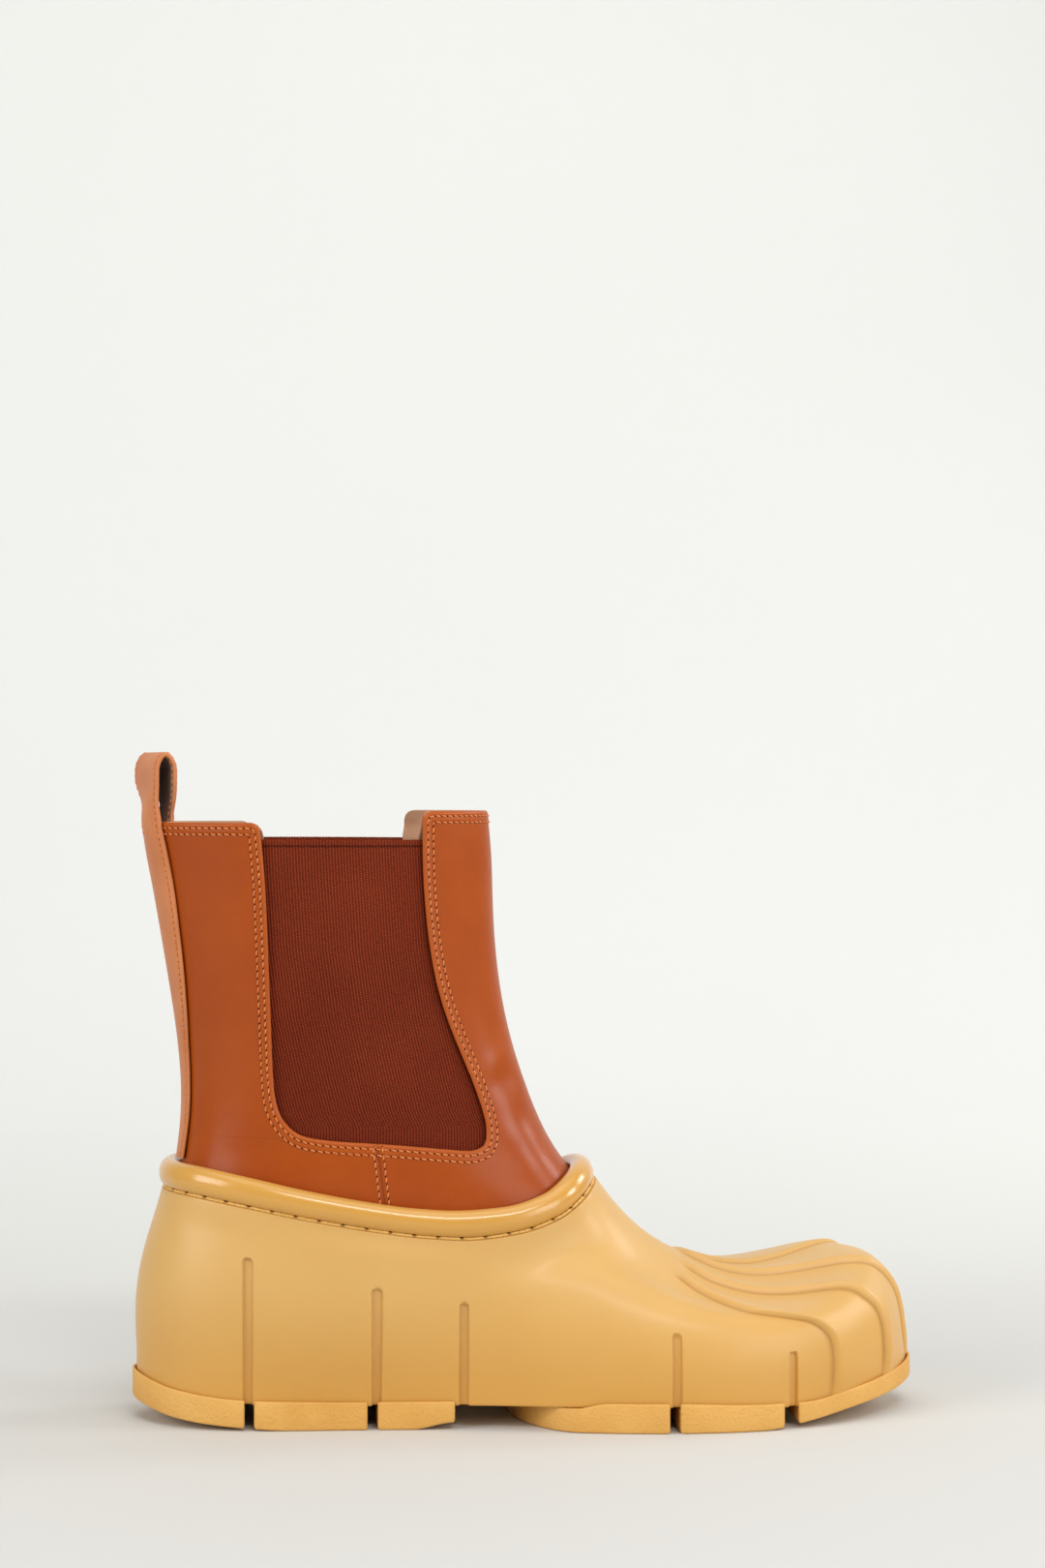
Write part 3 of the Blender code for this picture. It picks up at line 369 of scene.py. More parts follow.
class Finish:
    """A material with constants on its shader's own sockets and patterns on Object coordinates."""

    def __init__(self, name, **sockets):
        self.material = bpy.data.materials.new(name)
        self.material.use_nodes = True
        self.tree = self.material.node_tree
        self.shader = self.tree.nodes["Principled BSDF"]
        for socket, value in sockets.items():
            self.shader.inputs[socket.replace("_", " ")].default_value = value
        self.place = self.node("TexCoord", output="Object")

    def node(self, kind, sockets=None, output=None, **settings):
        """A node with its settings made and its sockets set or linked; one output is returned."""
        made = self.tree.nodes.new("ShaderNode" + kind)
        for key, value in settings.items():
            setattr(made, key, value)
        for key, value in (sockets or {}).items():
            if isinstance(value, bpy.types.NodeSocket):
                self.tree.links.new(value, made.inputs[key])
            else:
                made.inputs[key].default_value = value
        return next(way for way in made.outputs if way.enabled) if output is None else made.outputs[output]

    def link(self, socket, value):
        """A pattern led into a socket of the shader."""
        self.tree.links.new(value, self.shader.inputs[socket])

    def noise(self, scale, detail, **sockets):
        """Cloudy noise, with waves of about a metre over its scale."""
        return self.node("TexNoise", {"Vector": self.place, "Scale": scale, "Detail": detail, **sockets})

    def cells(self, scale, feature="F1", **sockets):
        """Distance from the middle of the nearest cell."""
        return self.node("TexVoronoi", {"Vector": self.place, "Scale": scale, **sockets}, feature=feature)

    def attribute(self, name):
        """A number kept on the piece's points."""
        return self.node("Attribute", output="Fac", attribute_name=name)

    def ramp(self, factor, *stops):
        """Colour ramp over a factor, from pairs of place and display colour."""
        made = self.node("ValToRGB", {"Fac": factor})
        elements = made.node.color_ramp.elements
        for index, (place, colour) in enumerate(stops):
            element = elements[index] if index < 2 else elements.new(place)
            element.position, element.color = place, paint(*colour)
        return made

    def two_tone(self, factor, dark, light):
        """Colour ramp over the middle part of a noise."""
        return self.ramp(factor, (0.3, dark), (0.7, light))

    def mix(self, share, first, second):
        """One colour mixed over another; the second may be a display colour."""
        second = paint(*second) if isinstance(second, tuple) else second
        return self.node("Mix", {0: share, 6: first, 7: second}, output=2, data_type="RGBA")

    def spread(self, factor, low, high, start=0.0, end=1.0):
        """A factor mapped from low..high to start..end, and held at both ends."""
        return self.node("MapRange", {"Value": factor, "From Min": low, "From Max": high,
                                      "To Min": start, "To Max": end})

    def maths(self, operation, first, second=0.0):
        """One sum on factors."""
        return self.node("Math", {0: first, 1: second}, operation=operation)

    def times(self, first, second):
        """One factor times another."""
        return self.maths("MULTIPLY", first, second)

    def plus(self, first, second):
        """One factor added to another."""
        return self.maths("ADD", first, second)

    def away(self, factor, middle):
        """How far a factor lies from a middle value, either way."""
        return self.maths("ABSOLUTE", self.maths("SUBTRACT", factor, middle))

    def bumps(self, *layers):
        """Layers of height, each with its depth in millimetres, chained into the shader's normal."""
        normal = None
        for height, depth in layers:
            sockets = {"Height": height, "Distance": depth * MM, "Strength": 1.0}
            normal = self.node("Bump", {**sockets, "Normal": normal} if normal else sockets)
        self.link("Normal", normal)


def speckled(name, noise, tones, depth=0.0, cells=None, **sockets):
    """A finish of two tones over one noise, which is also its relief; cells add a finer relief."""
    finish = Finish(name, **sockets)
    cloud = finish.noise(*noise)
    finish.link("Base Color", finish.two_tone(cloud, *tones))
    layers = [(cloud, depth)]
    if cells:
        scale, randomness, feature, fine_depth = cells
        layers.append((finish.cells(scale, feature, Randomness=randomness), fine_depth))
    if depth:
        finish.bumps(*layers)
    return finish


leather = Finish("tan_leather_shaft", Specular_IOR_Level=0.10, Coat_Weight=0.30, Coat_Roughness=0.26)
cloud = leather.noise(26.0, 4.0, Roughness=0.55)
pore, grain = leather.cells(2100.0), leather.noise(900.0, 3.0)
edge = leather.attribute("edge")
pull_up = leather.spread(edge, 0.2, 4.8, 1.0, 0.0)
tone = leather.ramp(cloud, (0.30, (155, 64, 5)), (0.52, (161, 69, 6)), (0.72, (168, 75, 9)))
edged = leather.mix(leather.times(pull_up, 0.25), tone, (202, 108, 46))
crack = leather.spread(leather.maths("ABSOLUTE", leather.attribute("seam")), 0.08, 0.45, 1.0, 0.0)
leather.link("Base Color", leather.mix(leather.times(crack, 0.3), edged, (70, 26, 8)))
leather.link("Roughness", leather.spread(grain, 0.3, 0.7, 0.40, 0.52))
rows = [leather.spread(leather.away(edge, inset), 0.0, 0.75, 1.0, 0.0) for inset in STITCH_INSET]
wave = leather.maths("SINE", leather.times(leather.attribute("along"), 2 * math.pi / STITCH_PITCH))
pucker = leather.times(leather.plus(*rows), leather.spread(wave, -1.0, 1.0, -1.0, -0.45))
leather.bumps((pucker, 0.22), (leather.times(crack, -1.0), 0.2), (cloud, 0.25), (grain, 0.05), (pore, 0.035))
raw_edge = speckled("tan_leather_cut_edge", (1300.0, 4.0), ((170, 92, 46), (206, 134, 84)), 0.12,
                    Roughness=0.7)

# Soft creases where the ankle bends: turn, height, half width in turns, half height, lean and depth
CREASES = (
    (0.420, 121.0, 0.030, 3.4, 0.9, -0.55), (0.425, 128.0, 0.035, 3.8, 0.9, 0.40),
    (0.440, 108.0, 0.040, 4.0, 0.6, -0.45), (0.400, 97.0, 0.030, 4.2, 0.8, 0.40),
    (0.580, 122.0, 0.030, 3.4, -0.9, -0.55), (0.570, 110.0, 0.040, 4.0, -0.6, -0.40),
    (0.350, 88.0, 0.030, 3.6, 0.2, -0.30), (0.160, 96.0, 0.040, 5.0, 0.2, -0.35),
    (0.140, 140.0, 0.030, 9.0, 0.0, -0.30), (0.860, 128.0, 0.030, 9.0, 0.0, -0.35),
)


def seam_x(z):
    """Place of the side seam at a height, on a straight line from its foot to its head."""
    share = (z - SEAM_FOOT[1]) / (SEAM_HEAD[1] - SEAM_FOOT[1])
    return SEAM_FOOT[0] + (SEAM_HEAD[0] - SEAM_FOOT[0]) * share


blocks = leather_blocks()
surface = np.concatenate([shaft_face(*block).reshape(-1, 3) for block in blocks])
block_turn, block_z = (np.concatenate([block[kind].ravel() for block in blocks]) for kind in (0, 1))
block_turn = np.mod(block_turn, 1.0)
edge_points, edge_paces = (np.concatenate(part) for part in zip(*(
    (shaft_face(turn, z), pace) for turn, z, pace in edges.values())))
edge_distance, spot = nearest(surface, edge_points)
seam_reach = surface[:, 0] - seam_x(block_z) - np.where(block_turn > 0.5, SHIFT[INNER], SHIFT[OUTER])
seam_reach = np.where(block_z < SEAM_HEAD[1] + 1.0, seam_reach, NO_SEAM)
roll = -EDGE_ROLL * np.exp(-(edge_distance / ROLL_REACH) ** 2)
pillow = EDGE_PILLOW * np.sin(np.clip(edge_distance / STITCH_INSET[1], 0, 1) * 2 * math.pi) ** 2
seam_fold = (SEAM_SWELL * np.exp(-((np.abs(seam_reach) - SWELL_AT) / SWELL_REACH) ** 2)
             - SEAM_SINK * np.exp(-(seam_reach / SINK_REACH) ** 2))
creases = sum(depth * np.exp(-((block_turn - turn) / broad) ** 2
                             - ((block_z - height - lean * (block_turn - turn) * 100) / tall) ** 2)
              for turn, height, broad, tall, lean, depth in CREASES)
shaft = shell("leather_shaft", blocks, roll + pillow + seam_fold + creases, [leather, raw_edge],
              edge=edge_distance, along=edge_paces[spot], seam=seam_reach)
thicken(shaft, LEATHER_WALL, rim=1)
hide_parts("shaft")

# Lining
# Beige pigskin, half a millimetre thick, glued inside the leather. Beside the notches it passes over
# the elastic's hidden edges, and its top is trimmed level with the collar.
LINING_WALL, LINING_LIFT, LINING_OVER_ELASTIC = 0.5, -1.75, -3.75
LINING_SLOPE = (12.5, 8.5)                   # from the notch, where it steps in over the elastic
LINING_TOP = (COLLAR_BACK - 1.0, COLLAR_BACK - 6.0)   # heights between which it steps in below the collar

lining_finish = speckled("pigskin_lining", (45.0, 4.0), ((176, 130, 98), (200, 156, 124)), 0.2,
                         (520.0, 0.8, "F1", 0.12), Roughness=0.82)
notches = np.concatenate([shaft_face(turn[:, 0], z[:, 0]) for turn, z, *_ in strips.values()])
under = smooth_step(*LINING_SLOPE, nearest(surface, notches)[0]) * smooth_step(*LINING_TOP, block_z)
lining = shell("lining", blocks, LINING_LIFT + (LINING_OVER_ELASTIC - LINING_LIFT) * under, [lining_finish])
thicken(lining, LINING_WALL)

# Elastic gores
# Two panels of rust-coloured ribbed elastic, 1.4 mm thick, sewn behind the notches. The ribs run
# down the panel, and the top is folded to a narrow hem.
GORE_WALL, GORE_LIFT, GORE_OVERLAP = 1.4, -2.1, 7.0
GORE_TOP, GORE_BOTTOM, GORE_HEM = 205.6, 88.5, 2.3
HEM_SWELL, HEM_ROOM = 0.28, 0.3              # the hem stands up from a panel sunk to make room for it
HEM_STEPS = np.array([4, 3.4, 3.05, 2.7, 2, 1, .4, .1, 0])
GORE_ROWS, GORE_COLUMNS, GORE_SHADE_TOP = 76, 80, 165.0
NOTCH_FOOT, NOTCH_HEAD = 104.5, 206.5        # heights between which the notch's sides run
RIB_PITCH, LOOP_PITCH = 1.05, 0.8            # of the knit, across and along the panel

elastic = Finish("rust_elastic_gore", Roughness=0.9, Specular_IOR_Level=0.12)
panel = elastic.node("UVMap", uv_map="UVMap")
across, height = (elastic.node("SeparateXYZ", {0: panel}, output=axis) for axis in (0, 1))
rib = elastic.maths("SINE", elastic.times(across, 2 * math.pi / RIB_PITCH))
stagger = elastic.times(elastic.maths("FLOOR", elastic.maths("DIVIDE", across, RIB_PITCH)), 0.5 * math.pi)
loop = elastic.maths("SINE", elastic.plus(elastic.times(height, 2 * math.pi / LOOP_PITCH), stagger))
knit = elastic.plus(elastic.times(rib, 0.65), elastic.times(loop, 0.35))
cloud, fuzz = elastic.noise(30.0, 5.0), elastic.noise(2600.0, 2.0)
worn = elastic.plus(elastic.plus(elastic.times(cloud, 0.16), 0.095), elastic.times(fuzz, 0.45))
shaded = elastic.plus(worn, elastic.spread(height, GORE_BOTTOM, GORE_SHADE_TOP, -0.06, 0.0))
mottle = elastic.plus(elastic.times(knit, 0.22), shaded)
tone = elastic.ramp(mottle, (0.15, (72, 19, 6)), (0.42, (116, 41, 19)), (0.70, (158, 68, 38)))
hem_line = elastic.spread(elastic.away(height, GORE_TOP - GORE_HEM), 0.1, 0.6, 0.75, 0.0)
elastic.link("Base Color", elastic.mix(hem_line, tone, (60, 16, 7)))
elastic.bumps((knit, 0.18), (fuzz, 0.06))


def gore_net(side):
    """Turn and height of a panel: even columns between the notch's sides, each widened by the lap."""
    z = np.append(np.linspace(GORE_BOTTOM, GORE_TOP - 5, GORE_ROWS), GORE_TOP - HEM_STEPS)
    held = np.clip(z, NOTCH_FOOT, NOTCH_HEAD)
    lowest = np.argmin(NOTCH["z"])
    rear = np.interp(-held, -NOTCH["z"][:lowest], NOTCH["x"][:lowest]) - GORE_OVERLAP
    front = np.interp(held, NOTCH["z"][lowest:], NOTCH["x"][lowest:]) + GORE_OVERLAP
    x = between(rear, front, GORE_COLUMNS) + SHIFT[side]
    z = np.broadcast_to(z[:, None], x.shape)
    return -side * turn_at(x, z), z


def make_gore(name, side, stands_for):
    """One panel: its net on the leather's face, sunk behind it, with a plump hem along the top."""
    turn, z = gore_net(side)
    hem = HEM_SWELL * np.sqrt(np.clip(1 - ((GORE_TOP - z - GORE_HEM / 2) / (GORE_HEM / 2)) ** 2, 0, 1))
    points = lifted(shaft_face, turn, z, GORE_LIFT - HEM_ROOM + hem)
    step = np.linalg.norm(np.diff(points, axis=1), axis=-1)
    width = np.concatenate([np.zeros((len(z), 1)), np.cumsum(step, axis=1)], axis=1)
    uv = np.stack([width - width[:, -1:] / 2, z], axis=-1)
    gore = make_piece(name, points, grid_faces(*z.shape, flip=side > 0), [elastic], uv=uv)
    thicken(gore, GORE_WALL - HEM_ROOM)
    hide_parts(stands_for)


make_gore("elastic_outer", OUTER, "gore_outer")
make_gore("elastic_inner", INNER, "gore_inner")

# Back strap
# One leather strap over the back seam, from the rim up past the collar, where it turns over into
# the pull loop and comes down inside. Stitched along both edges, suede side in.
STRAP_STITCH, STRAP_CHANNEL = 1.4, 0.14      # stitch line from the edge, and its depth in walls
LOOP_TWIST, LOOP_HALF = math.radians(17), 14.0
STRAP_ROWS = ((0, 105, 60), (106, None, 96))  # sections along its straight part and round its loop
STRAP = table("z x hug half wall", [
    (92.2, -124.9, 1, 10.8, 1.4), (102, -123.7, 1, 10.7, 1.4), (115, -123.1, 1, 10.7, 1.4),
    (130, -124.0, 1, 11.3, 1.4), (145, -125.9, 1, 12.9, 1.4), (160, -128.3, 1, 14.3, 1.4),
    (175, -130.8, 1, 15.0, 1.5), (190, -133.4, 1, 15.4, 1.6), (200.4, -135.3, 1, 15.1, 1.8),
    (206, -136.2, 1, 14.7, 1.8), (212.5, -137.0, 1, 14.3, 1.8), (220, -136.4, 0.3, 14, 1.8),
    (227.5, -135.9, 0, 14, 1.8), (233, -135.2, 0, 14, 1.8), (235.6, -132.8, 0, 14, 1.8),
    (233.2, -130.4, 0, 14, 1.8), (227.5, -129.6, 0, 14, 1.8), (220, -129.8, 0.3, 14, 1.8),
    (212.5, -131.2, 1, 14, 1.8), (206, -131.9, 1, 14, 1.8), (200.4, -131.3, 1, 14, 1.8),
])
STRAP_KNOTS = pace_along(np.stack([STRAP["x"], STRAP["z"]], axis=-1))
UP_TO_COLLAR = slice(0, 11)                  # rows of the strap's table on the outside of the leather


def back_turn(reach, z):
    """Turn at which the back of the shaft lies a given way round from its middle."""
    step = 1e-3
    pace = np.linalg.norm(shaft_face(step, z) - shaft_face(-step, z), axis=-1) / (2 * step)
    return -reach / pace


def strap_at(column, pace):
    """A column of the strap's table at a pace along it: its half width, wall or hold on the leather."""
    return follow(STRAP_KNOTS, STRAP[column], pace)


def strap_middle(pace, reach):
    """Middle of the strap at a pace along it and a reach across it.

    It hugs the leather up to the collar and inside it, and is flat and a little twisted above.
    """
    weights = spline_weights(STRAP_KNOTS, pace)
    x, z = weights @ STRAP["x"], weights @ STRAP["z"]
    hug = strap_at("hug", pace)[..., None]
    flat = np.stack([x - reach * math.sin(LOOP_TWIST), reach * math.cos(LOOP_TWIST), z], axis=-1)
    hugging = lifted(shaft_face, back_turn(reach, z), z, shaft_face(0.0, z)[..., 0] - x)
    return hugging * hug + flat * (1 - hug)


def make_strap():
    """Its section, a flat bar with rounded edges and a shallow stitch line near each, along its path."""
    middle = np.array([0, 3, 6, 8, 9.4, 10.2, 10.75, 11.1, 11.4, 11.9, 12.5, 13, 13.4, 13.7, 13.9, 14])
    taper = np.append(np.zeros(10), [.02, .06, .15, .3, .5, 1.0])
    channel = STRAP_CHANNEL * np.exp(-((LOOP_HALF - middle - STRAP_STITCH) / 0.4) ** 2)
    side, half = middle / LOOP_HALF, 0.5 - 0.5 * taper - channel
    reach = np.concatenate([-side[::-1], side[1:], side[-2::-1], -side[1:-1]])
    bar = np.concatenate([half[::-1], half[1:], -half[-2::-1], -half[1:-1]])
    paces = np.concatenate([np.linspace(start, end or STRAP_KNOTS[-1], count)
                            for start, end, count in STRAP_ROWS])
    pace, reach = np.meshgrid(paces, reach, indexing="ij")
    points = lifted(strap_middle, pace, reach * strap_at("half", pace), bar * strap_at("wall", pace))
    rows, columns = pace.shape
    faces = grid_faces(rows, columns, closed=True, flip=True)
    faces += [list(range(columns)), list(range((rows - 1) * columns, rows * columns))[::-1]]
    suede = np.broadcast_to(smooth_step(-0.25, -0.45, bar), pace.shape)
    return make_piece("back_strap", points, faces, [strap_leather], suede=suede)


strap_leather = Finish("tan_leather_strap", Specular_IOR_Level=0.4)
cloud, nap = strap_leather.noise(60.0, 4.0), strap_leather.noise(1500.0, 5.0, Roughness=0.7)
suede = strap_leather.attribute("suede")
# Painted light: the smooth face's tones are paler than the shaft's leather, for the light of the left lamp
# and the backdrop on the strap.
smooth = strap_leather.two_tone(cloud, (190, 112, 64), (204, 128, 78))
rough = strap_leather.two_tone(nap, (112, 84, 70), (150, 118, 98))
strap_leather.link("Base Color", strap_leather.mix(suede, smooth, rough))
strap_leather.link("Roughness", strap_leather.spread(suede, 0.0, 1.0, 0.5, 0.92))
strap_leather.bumps((cloud, 0.15), (nap, 0.06), (strap_leather.cells(2100.0), 0.03))
strap = make_strap()
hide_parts("back_strip", "pull_loop")

# Stitching
# Orange waxed thread: two rows along every cut edge of the leather, one on each side of the side seams,
# one along each edge of the strap and two across its foot. Every stitch sinks into a punched hole.
THREAD = 0.33                                # radius of the thread
STITCH_SHARE, STITCH_BOW, STITCH_SINK, STITCH_SLANT = 0.80, 0.30, 0.16, 0.16
HOLE_LONG, HOLE_WIDE, HOLE_PROUD, HOLE_DEEP = 0.36, 0.30, 0.07, 0.3
SEAM_ROW = 1.60                              # from the side seam to the row beside it
UNDER_STRAP = 15.0                           # no stitches show on the collar under the strap
STRAP_PITCH, LOOP_FOOT = 2.3, 212.0          # of its stitches, and where those inside the loop start
BAR_HEIGHTS, BAR_HALF = (210.2, 208.1), 12.4  # of the two rows across the strap
HEXAGON = (np.arange(6) * math.pi / 3)[:, None]

thread_finish = speckled("orange_thread", (1500.0, 2.0), ((190, 98, 42), (226, 142, 80)), 0.10,
                         Roughness=0.6, Specular_IOR_Level=0.35)
# Painted shade inside the needle holes.
hole_finish = speckled("needle_hole_shade", (900.0, 2.0), ((66, 24, 8), (92, 36, 14)),
                       Roughness=0.9, Specular_IOR_Level=0.1)


def resample(line, pace, at):
    """Points of a line at given paces along it, each coordinate by straight interpolation."""
    return np.stack([np.interp(at, pace, line[:, axis]) for axis in range(3)], axis=-1)


def stitch_row(line, normals, pitch):
    """Rings of every stitch on a line, and two small rings for every needle hole between them.

    A stitch is a capsule over most of its pitch: lifted by a half cosine, thinner to its ends, slanted.
    """
    pace = pace_along(line)
    count = int(pace[-1] / pitch)
    step = pace[-1] / count

    def frame_at(at):
        """Point, normal and way ahead at given paces, the last from a short step each way."""
        point, normal = resample(line, pace, at), resample(normals, pace, at)
        ahead = unit(resample(line, pace, at + 0.3) - resample(line, pace, at - 0.3))
        return [part[..., None, :] for part in (point, normal, ahead)]

    share = np.linspace(-0.5, 0.5, 5)
    bow, slant = np.cos(share * math.pi)[:, None, None], STITCH_SLANT * step * share[:, None, None]
    point, normal, ahead = frame_at((np.arange(count) + 0.5)[:, None] * step + share * step * STITCH_SHARE)
    radius = THREAD * (0.5 + 0.5 * np.sqrt(bow))
    stitches = (point + normal * (STITCH_BOW * bow - STITCH_SINK + radius * np.sin(HEXAGON))
                + np.cross(ahead, normal) * (radius * np.cos(HEXAGON) + slant))
    point, normal, ahead = frame_at(np.arange(count + 1) * step)
    holes = (point + normal * HOLE_PROUD + ahead * HOLE_LONG * np.cos(HEXAGON)
             + np.cross(ahead, normal) * HOLE_WIDE * np.sin(HEXAGON))
    return stitches, np.stack([holes, holes - HOLE_DEEP * normal], axis=1)


def copies(count, size, faces):
    """Faces of one small shape repeated, each with so many points of its own."""
    faces = np.array(faces)
    return ((np.arange(count) * size)[:, None, None] + faces).reshape(-1, faces.shape[1]).tolist()


def make_holes(name, rings, shade):
    """Dark plugs of painted shade in the holes, six sides each, from a ring at the surface and one sunk below
    it, both capped.
    """
    count = len(rings)
    caps = copies(count, 12, [np.arange(6)[::-1], np.arange(6, 12)])
    make_piece(name, rings, copies(count, 12, grid_faces(2, 6, closed=True)) + caps, [shade])


def sew(name, rows, thread, shade):
    """Rows of stitches as one piece, and the painted shade in their needle holes as another."""
    stitches, holes = (np.concatenate(kind) for kind in zip(*rows))
    count = len(stitches)
    sides = copies(count, 30, grid_faces(5, 6, closed=True, flip=True))
    ends = copies(count, 30, [np.arange(6), np.arange(24, 30)[::-1]])
    make_piece(name + "_stitches", stitches, sides + ends, [thread], sharp=80)
    make_holes(name + "_needle_holes", holes, shade)


def leather_row(turn, z, lift=0.04):
    """A row of stitches along a line of turns and heights on the leather."""
    return stitch_row(lifted(shaft_face, turn, z, lift), outward(shaft_face, turn, z), STITCH_PITCH)


shaft_rows = []
for side in (OUTER, INNER):
    turn, z, pace = (line[edges[side][2] > UNDER_STRAP] for line in edges[side])
    by_turn, by_height = on_leather(turn, z, into_leather(turn, z, side))
    shaft_rows += [leather_row(turn + inset * by_turn, z + inset * by_height) for inset in STITCH_INSET]
    z = np.linspace(SEAM_HEAD[1] - 0.6, SEAM_FOOT[1] - 4.0, 80)
    shaft_rows += [leather_row(-side * turn_at(seam_x(z) + SHIFT[side] + reach, z), z, 0.14)
                   for reach in (-SEAM_ROW, SEAM_ROW)]
sew("shaft", shaft_rows, thread_finish, hole_finish)


def strap_row(pace, reach, face):
    """A row of stitches on the strap's outer or inner face, along paces and reaches across it."""
    lift = face * (strap_at("wall", pace) * (0.5 - STRAP_CHANNEL) - 0.02)
    return stitch_row(lifted(strap_middle, pace, reach, lift), face * outward(strap_middle, pace, reach),
                      STRAP_PITCH)


def strap_pace(height):
    """Pace at which the strap's outer part reaches a height."""
    return np.interp(height, STRAP["z"][UP_TO_COLLAR], STRAP_KNOTS[UP_TO_COLLAR])


strap_rows = []
for side in (-1, 1):
    for face, first in ((1, 1.0), (-1, strap_pace(LOOP_FOOT))):
        pace = np.linspace(first, STRAP_KNOTS[-1] - 1.0, 700)
        strap_rows.append(strap_row(pace, side * (strap_at("half", pace) - STRAP_STITCH), face))
for height in BAR_HEIGHTS:
    strap_rows.append(strap_row(np.full(90, strap_pace(height)), np.linspace(-BAR_HALF, BAR_HALF, 90), 1))
sew("strap", strap_rows, thread_finish, hole_finish)

# Galosh
# The foot of the boot, moulded whole in yellow rubber: wall, closed bottom, rolled rim, ribs over
# the toes and grooves up the sides. The shaft stands in the rim and is sewn to it.
FOOT_LENGTH, TREAD_PROUD, RUBBER_WALL, CLEARANCE = 282.0, 1.5, 3.0, 0.3
HEEL_X, TOE_X = -FOOT_LENGTH / 2 + TREAD_PROUD, FOOT_LENGTH / 2 - TREAD_PROUD
LIP_LAP, LIP_CLEARANCE, RIM_NECK = 1.6, 0.55, 5.4
TREAD = table("x ground lip", [
    (-141, 7.4, 17.6), (-126, 3.4, 13.4), (-100, 0.8, 10.6), (-86, 0.0, 10.2), (-60, 0.0, 9.8),
    (0, 0.0, 10.2), (45, 0.0, 10.4), (78, 0.0, 9.3), (94, 2.0, 9.2), (112, 5.2, 11.9),
    (130, 8.0, 15.2), (141, 10.2, 17.8),
])
EDGE = table("x y turn bulge", [
    (HEEL_X, 0.0, 0.000, 4.2), (-122.0, -26.8, 0.080, 3.9), (-86.0, -34.8, 0.178, 3.4),
    (-28.0, -37.8, 0.300, 3.0), (40.0, -51.1, 0.386, 0.0), (92.0, -45.5, 0.434, 0.0),
    (125.0, -24.5, 0.470, 0.0), (TOE_X, 8.0, 0.500, 0.0), (126.0, 34.0, 0.530, 0.0),
    (94.0, 46.5, 0.566, 0.0), (50.0, 51.5, 0.614, 0.0), (-26.0, 35.0, 0.700, 3.0),
    (-86.0, 34.4, 0.822, 3.4), (-122.0, 26.6, 0.920, 3.9),
])
FIRST_TOE_SECTION, TOE_TIP, SWELL_POWER = 4, 7, 1.3
FOREFOOT = table(
    "wall_in wall_z brow_in brow_z shoulder_in shoulder_z crown_in crown_z dip_in dip_z rise_in rise_z", [
        (-1.0, 17.0, -0.6, 26.0, 2.6, 35.5, 9.0, 44.5, 18.5, 53.0, 29.0, 61.5),
        (-0.6, 17.0, -0.2, 26.0, 3.2, 34.0, 13.0, 38.8, 36.0, 44.0, 60.0, 58.5),
        (0.0, 22.5, 2.0, 34.5, 7.0, 41.5, 18.0, 44.4, 48.0, 44.0, 82.0, 59.5),
        (1.7, 27.5, 4.2, 40.5, 10.8, 50.6, 25.0, 54.0, 60.0, 49.2, 95.0, 62.3),
        (0.4, 25.0, 2.4, 38.5, 8.5, 49.6, 22.0, 54.3, 52.0, 50.8, 84.0, 60.3),
        (-0.6, 18.0, -0.3, 29.0, 3.5, 40.0, 12.0, 47.0, 34.0, 49.6, 60.0, 59.8),
        (-0.8, 18.0, 0.0, 28.0, 4.0, 38.0, 11.5, 46.5, 22.5, 54.0, 36.0, 62.0),
    ])
PROFILE_ROWS = ("wall", "brow", "shoulder", "crown", "dip", "rise")
NECK_ROW, FLOOR_ROW = 7, 0.55
RIB_LINES = table("row first second third fourth", [
    (0.0, 5.33, 6.01, 6.80, 7.80), (2.0, 5.35, 6.07, 6.78, 7.78), (3.1, 5.26, 6.03, 6.70, 7.72),
    (3.7, 5.10, 6.03, 6.65, 7.61), (4.2, 4.96, 6.00, 6.67, 7.48), (4.6, 5.02, 5.95, 6.69, 7.33),
    (5.0, 5.17, 5.92, 6.67, 7.21), (5.3, 5.30, 5.92, 6.70, 7.26), (5.5, 5.42, 5.99, 6.84, 7.42),
    (5.75, 5.56, 6.20, 7.05, 7.65), (7.0, 5.56, 6.20, 7.05, 7.65),
])
# Profile row at which each rib starts, and its height
RIBS = {"first": (5.66, 2.2), "second": (5.70, 2.1), "third": (5.70, 1.9), "fourth": (5.72, 1.3)}
RIBS_END = 8.6                               # section at which the last rib's slope has run out
# The last is how far the painted shade reaches from each rib's crease.
RIB_FLANK, RIB_RISE, CREASE_SHADE_WIDTH = 2.6, 0.17, 0.5
GROOVES = table("x top", [(-100.2, 60.7), (-55.4, 49.9), (-25.1, 44.5), (48.2, 34.3), (89.8, 27.0)])
GROOVE_WIDTH, GROOVE_DEPTH, GROOVE_BLEND = 3.6, 1.45, (0.05, -0.42)
GROOVE_HOLD, GROOVE_CLEAR = 3.2, 12.0        # columns held beside a groove, and its way to the first rib
COLUMN_PITCH = 2.3
GROOVE_STEPS = np.array([0, .8, 1.2, 1.38, 1.52, 1.66, 1.80, 2.0, 2.5])
RIB_STEPS = np.array([0, .12, .35, .7, 1.1, 1.6, 2.1, 2.8, 3.6, 4.5])
EDGE_BEVEL, EDGE_DROP, EDGE_EASE = 1.2, 0.05, 0.2   # the lower edge turns in under the pads' lips
RIB_END, RIB_POWER, RIB_FOOT = 0.85, 1.6, 0.55      # share of the gap it slopes over, and its height low down
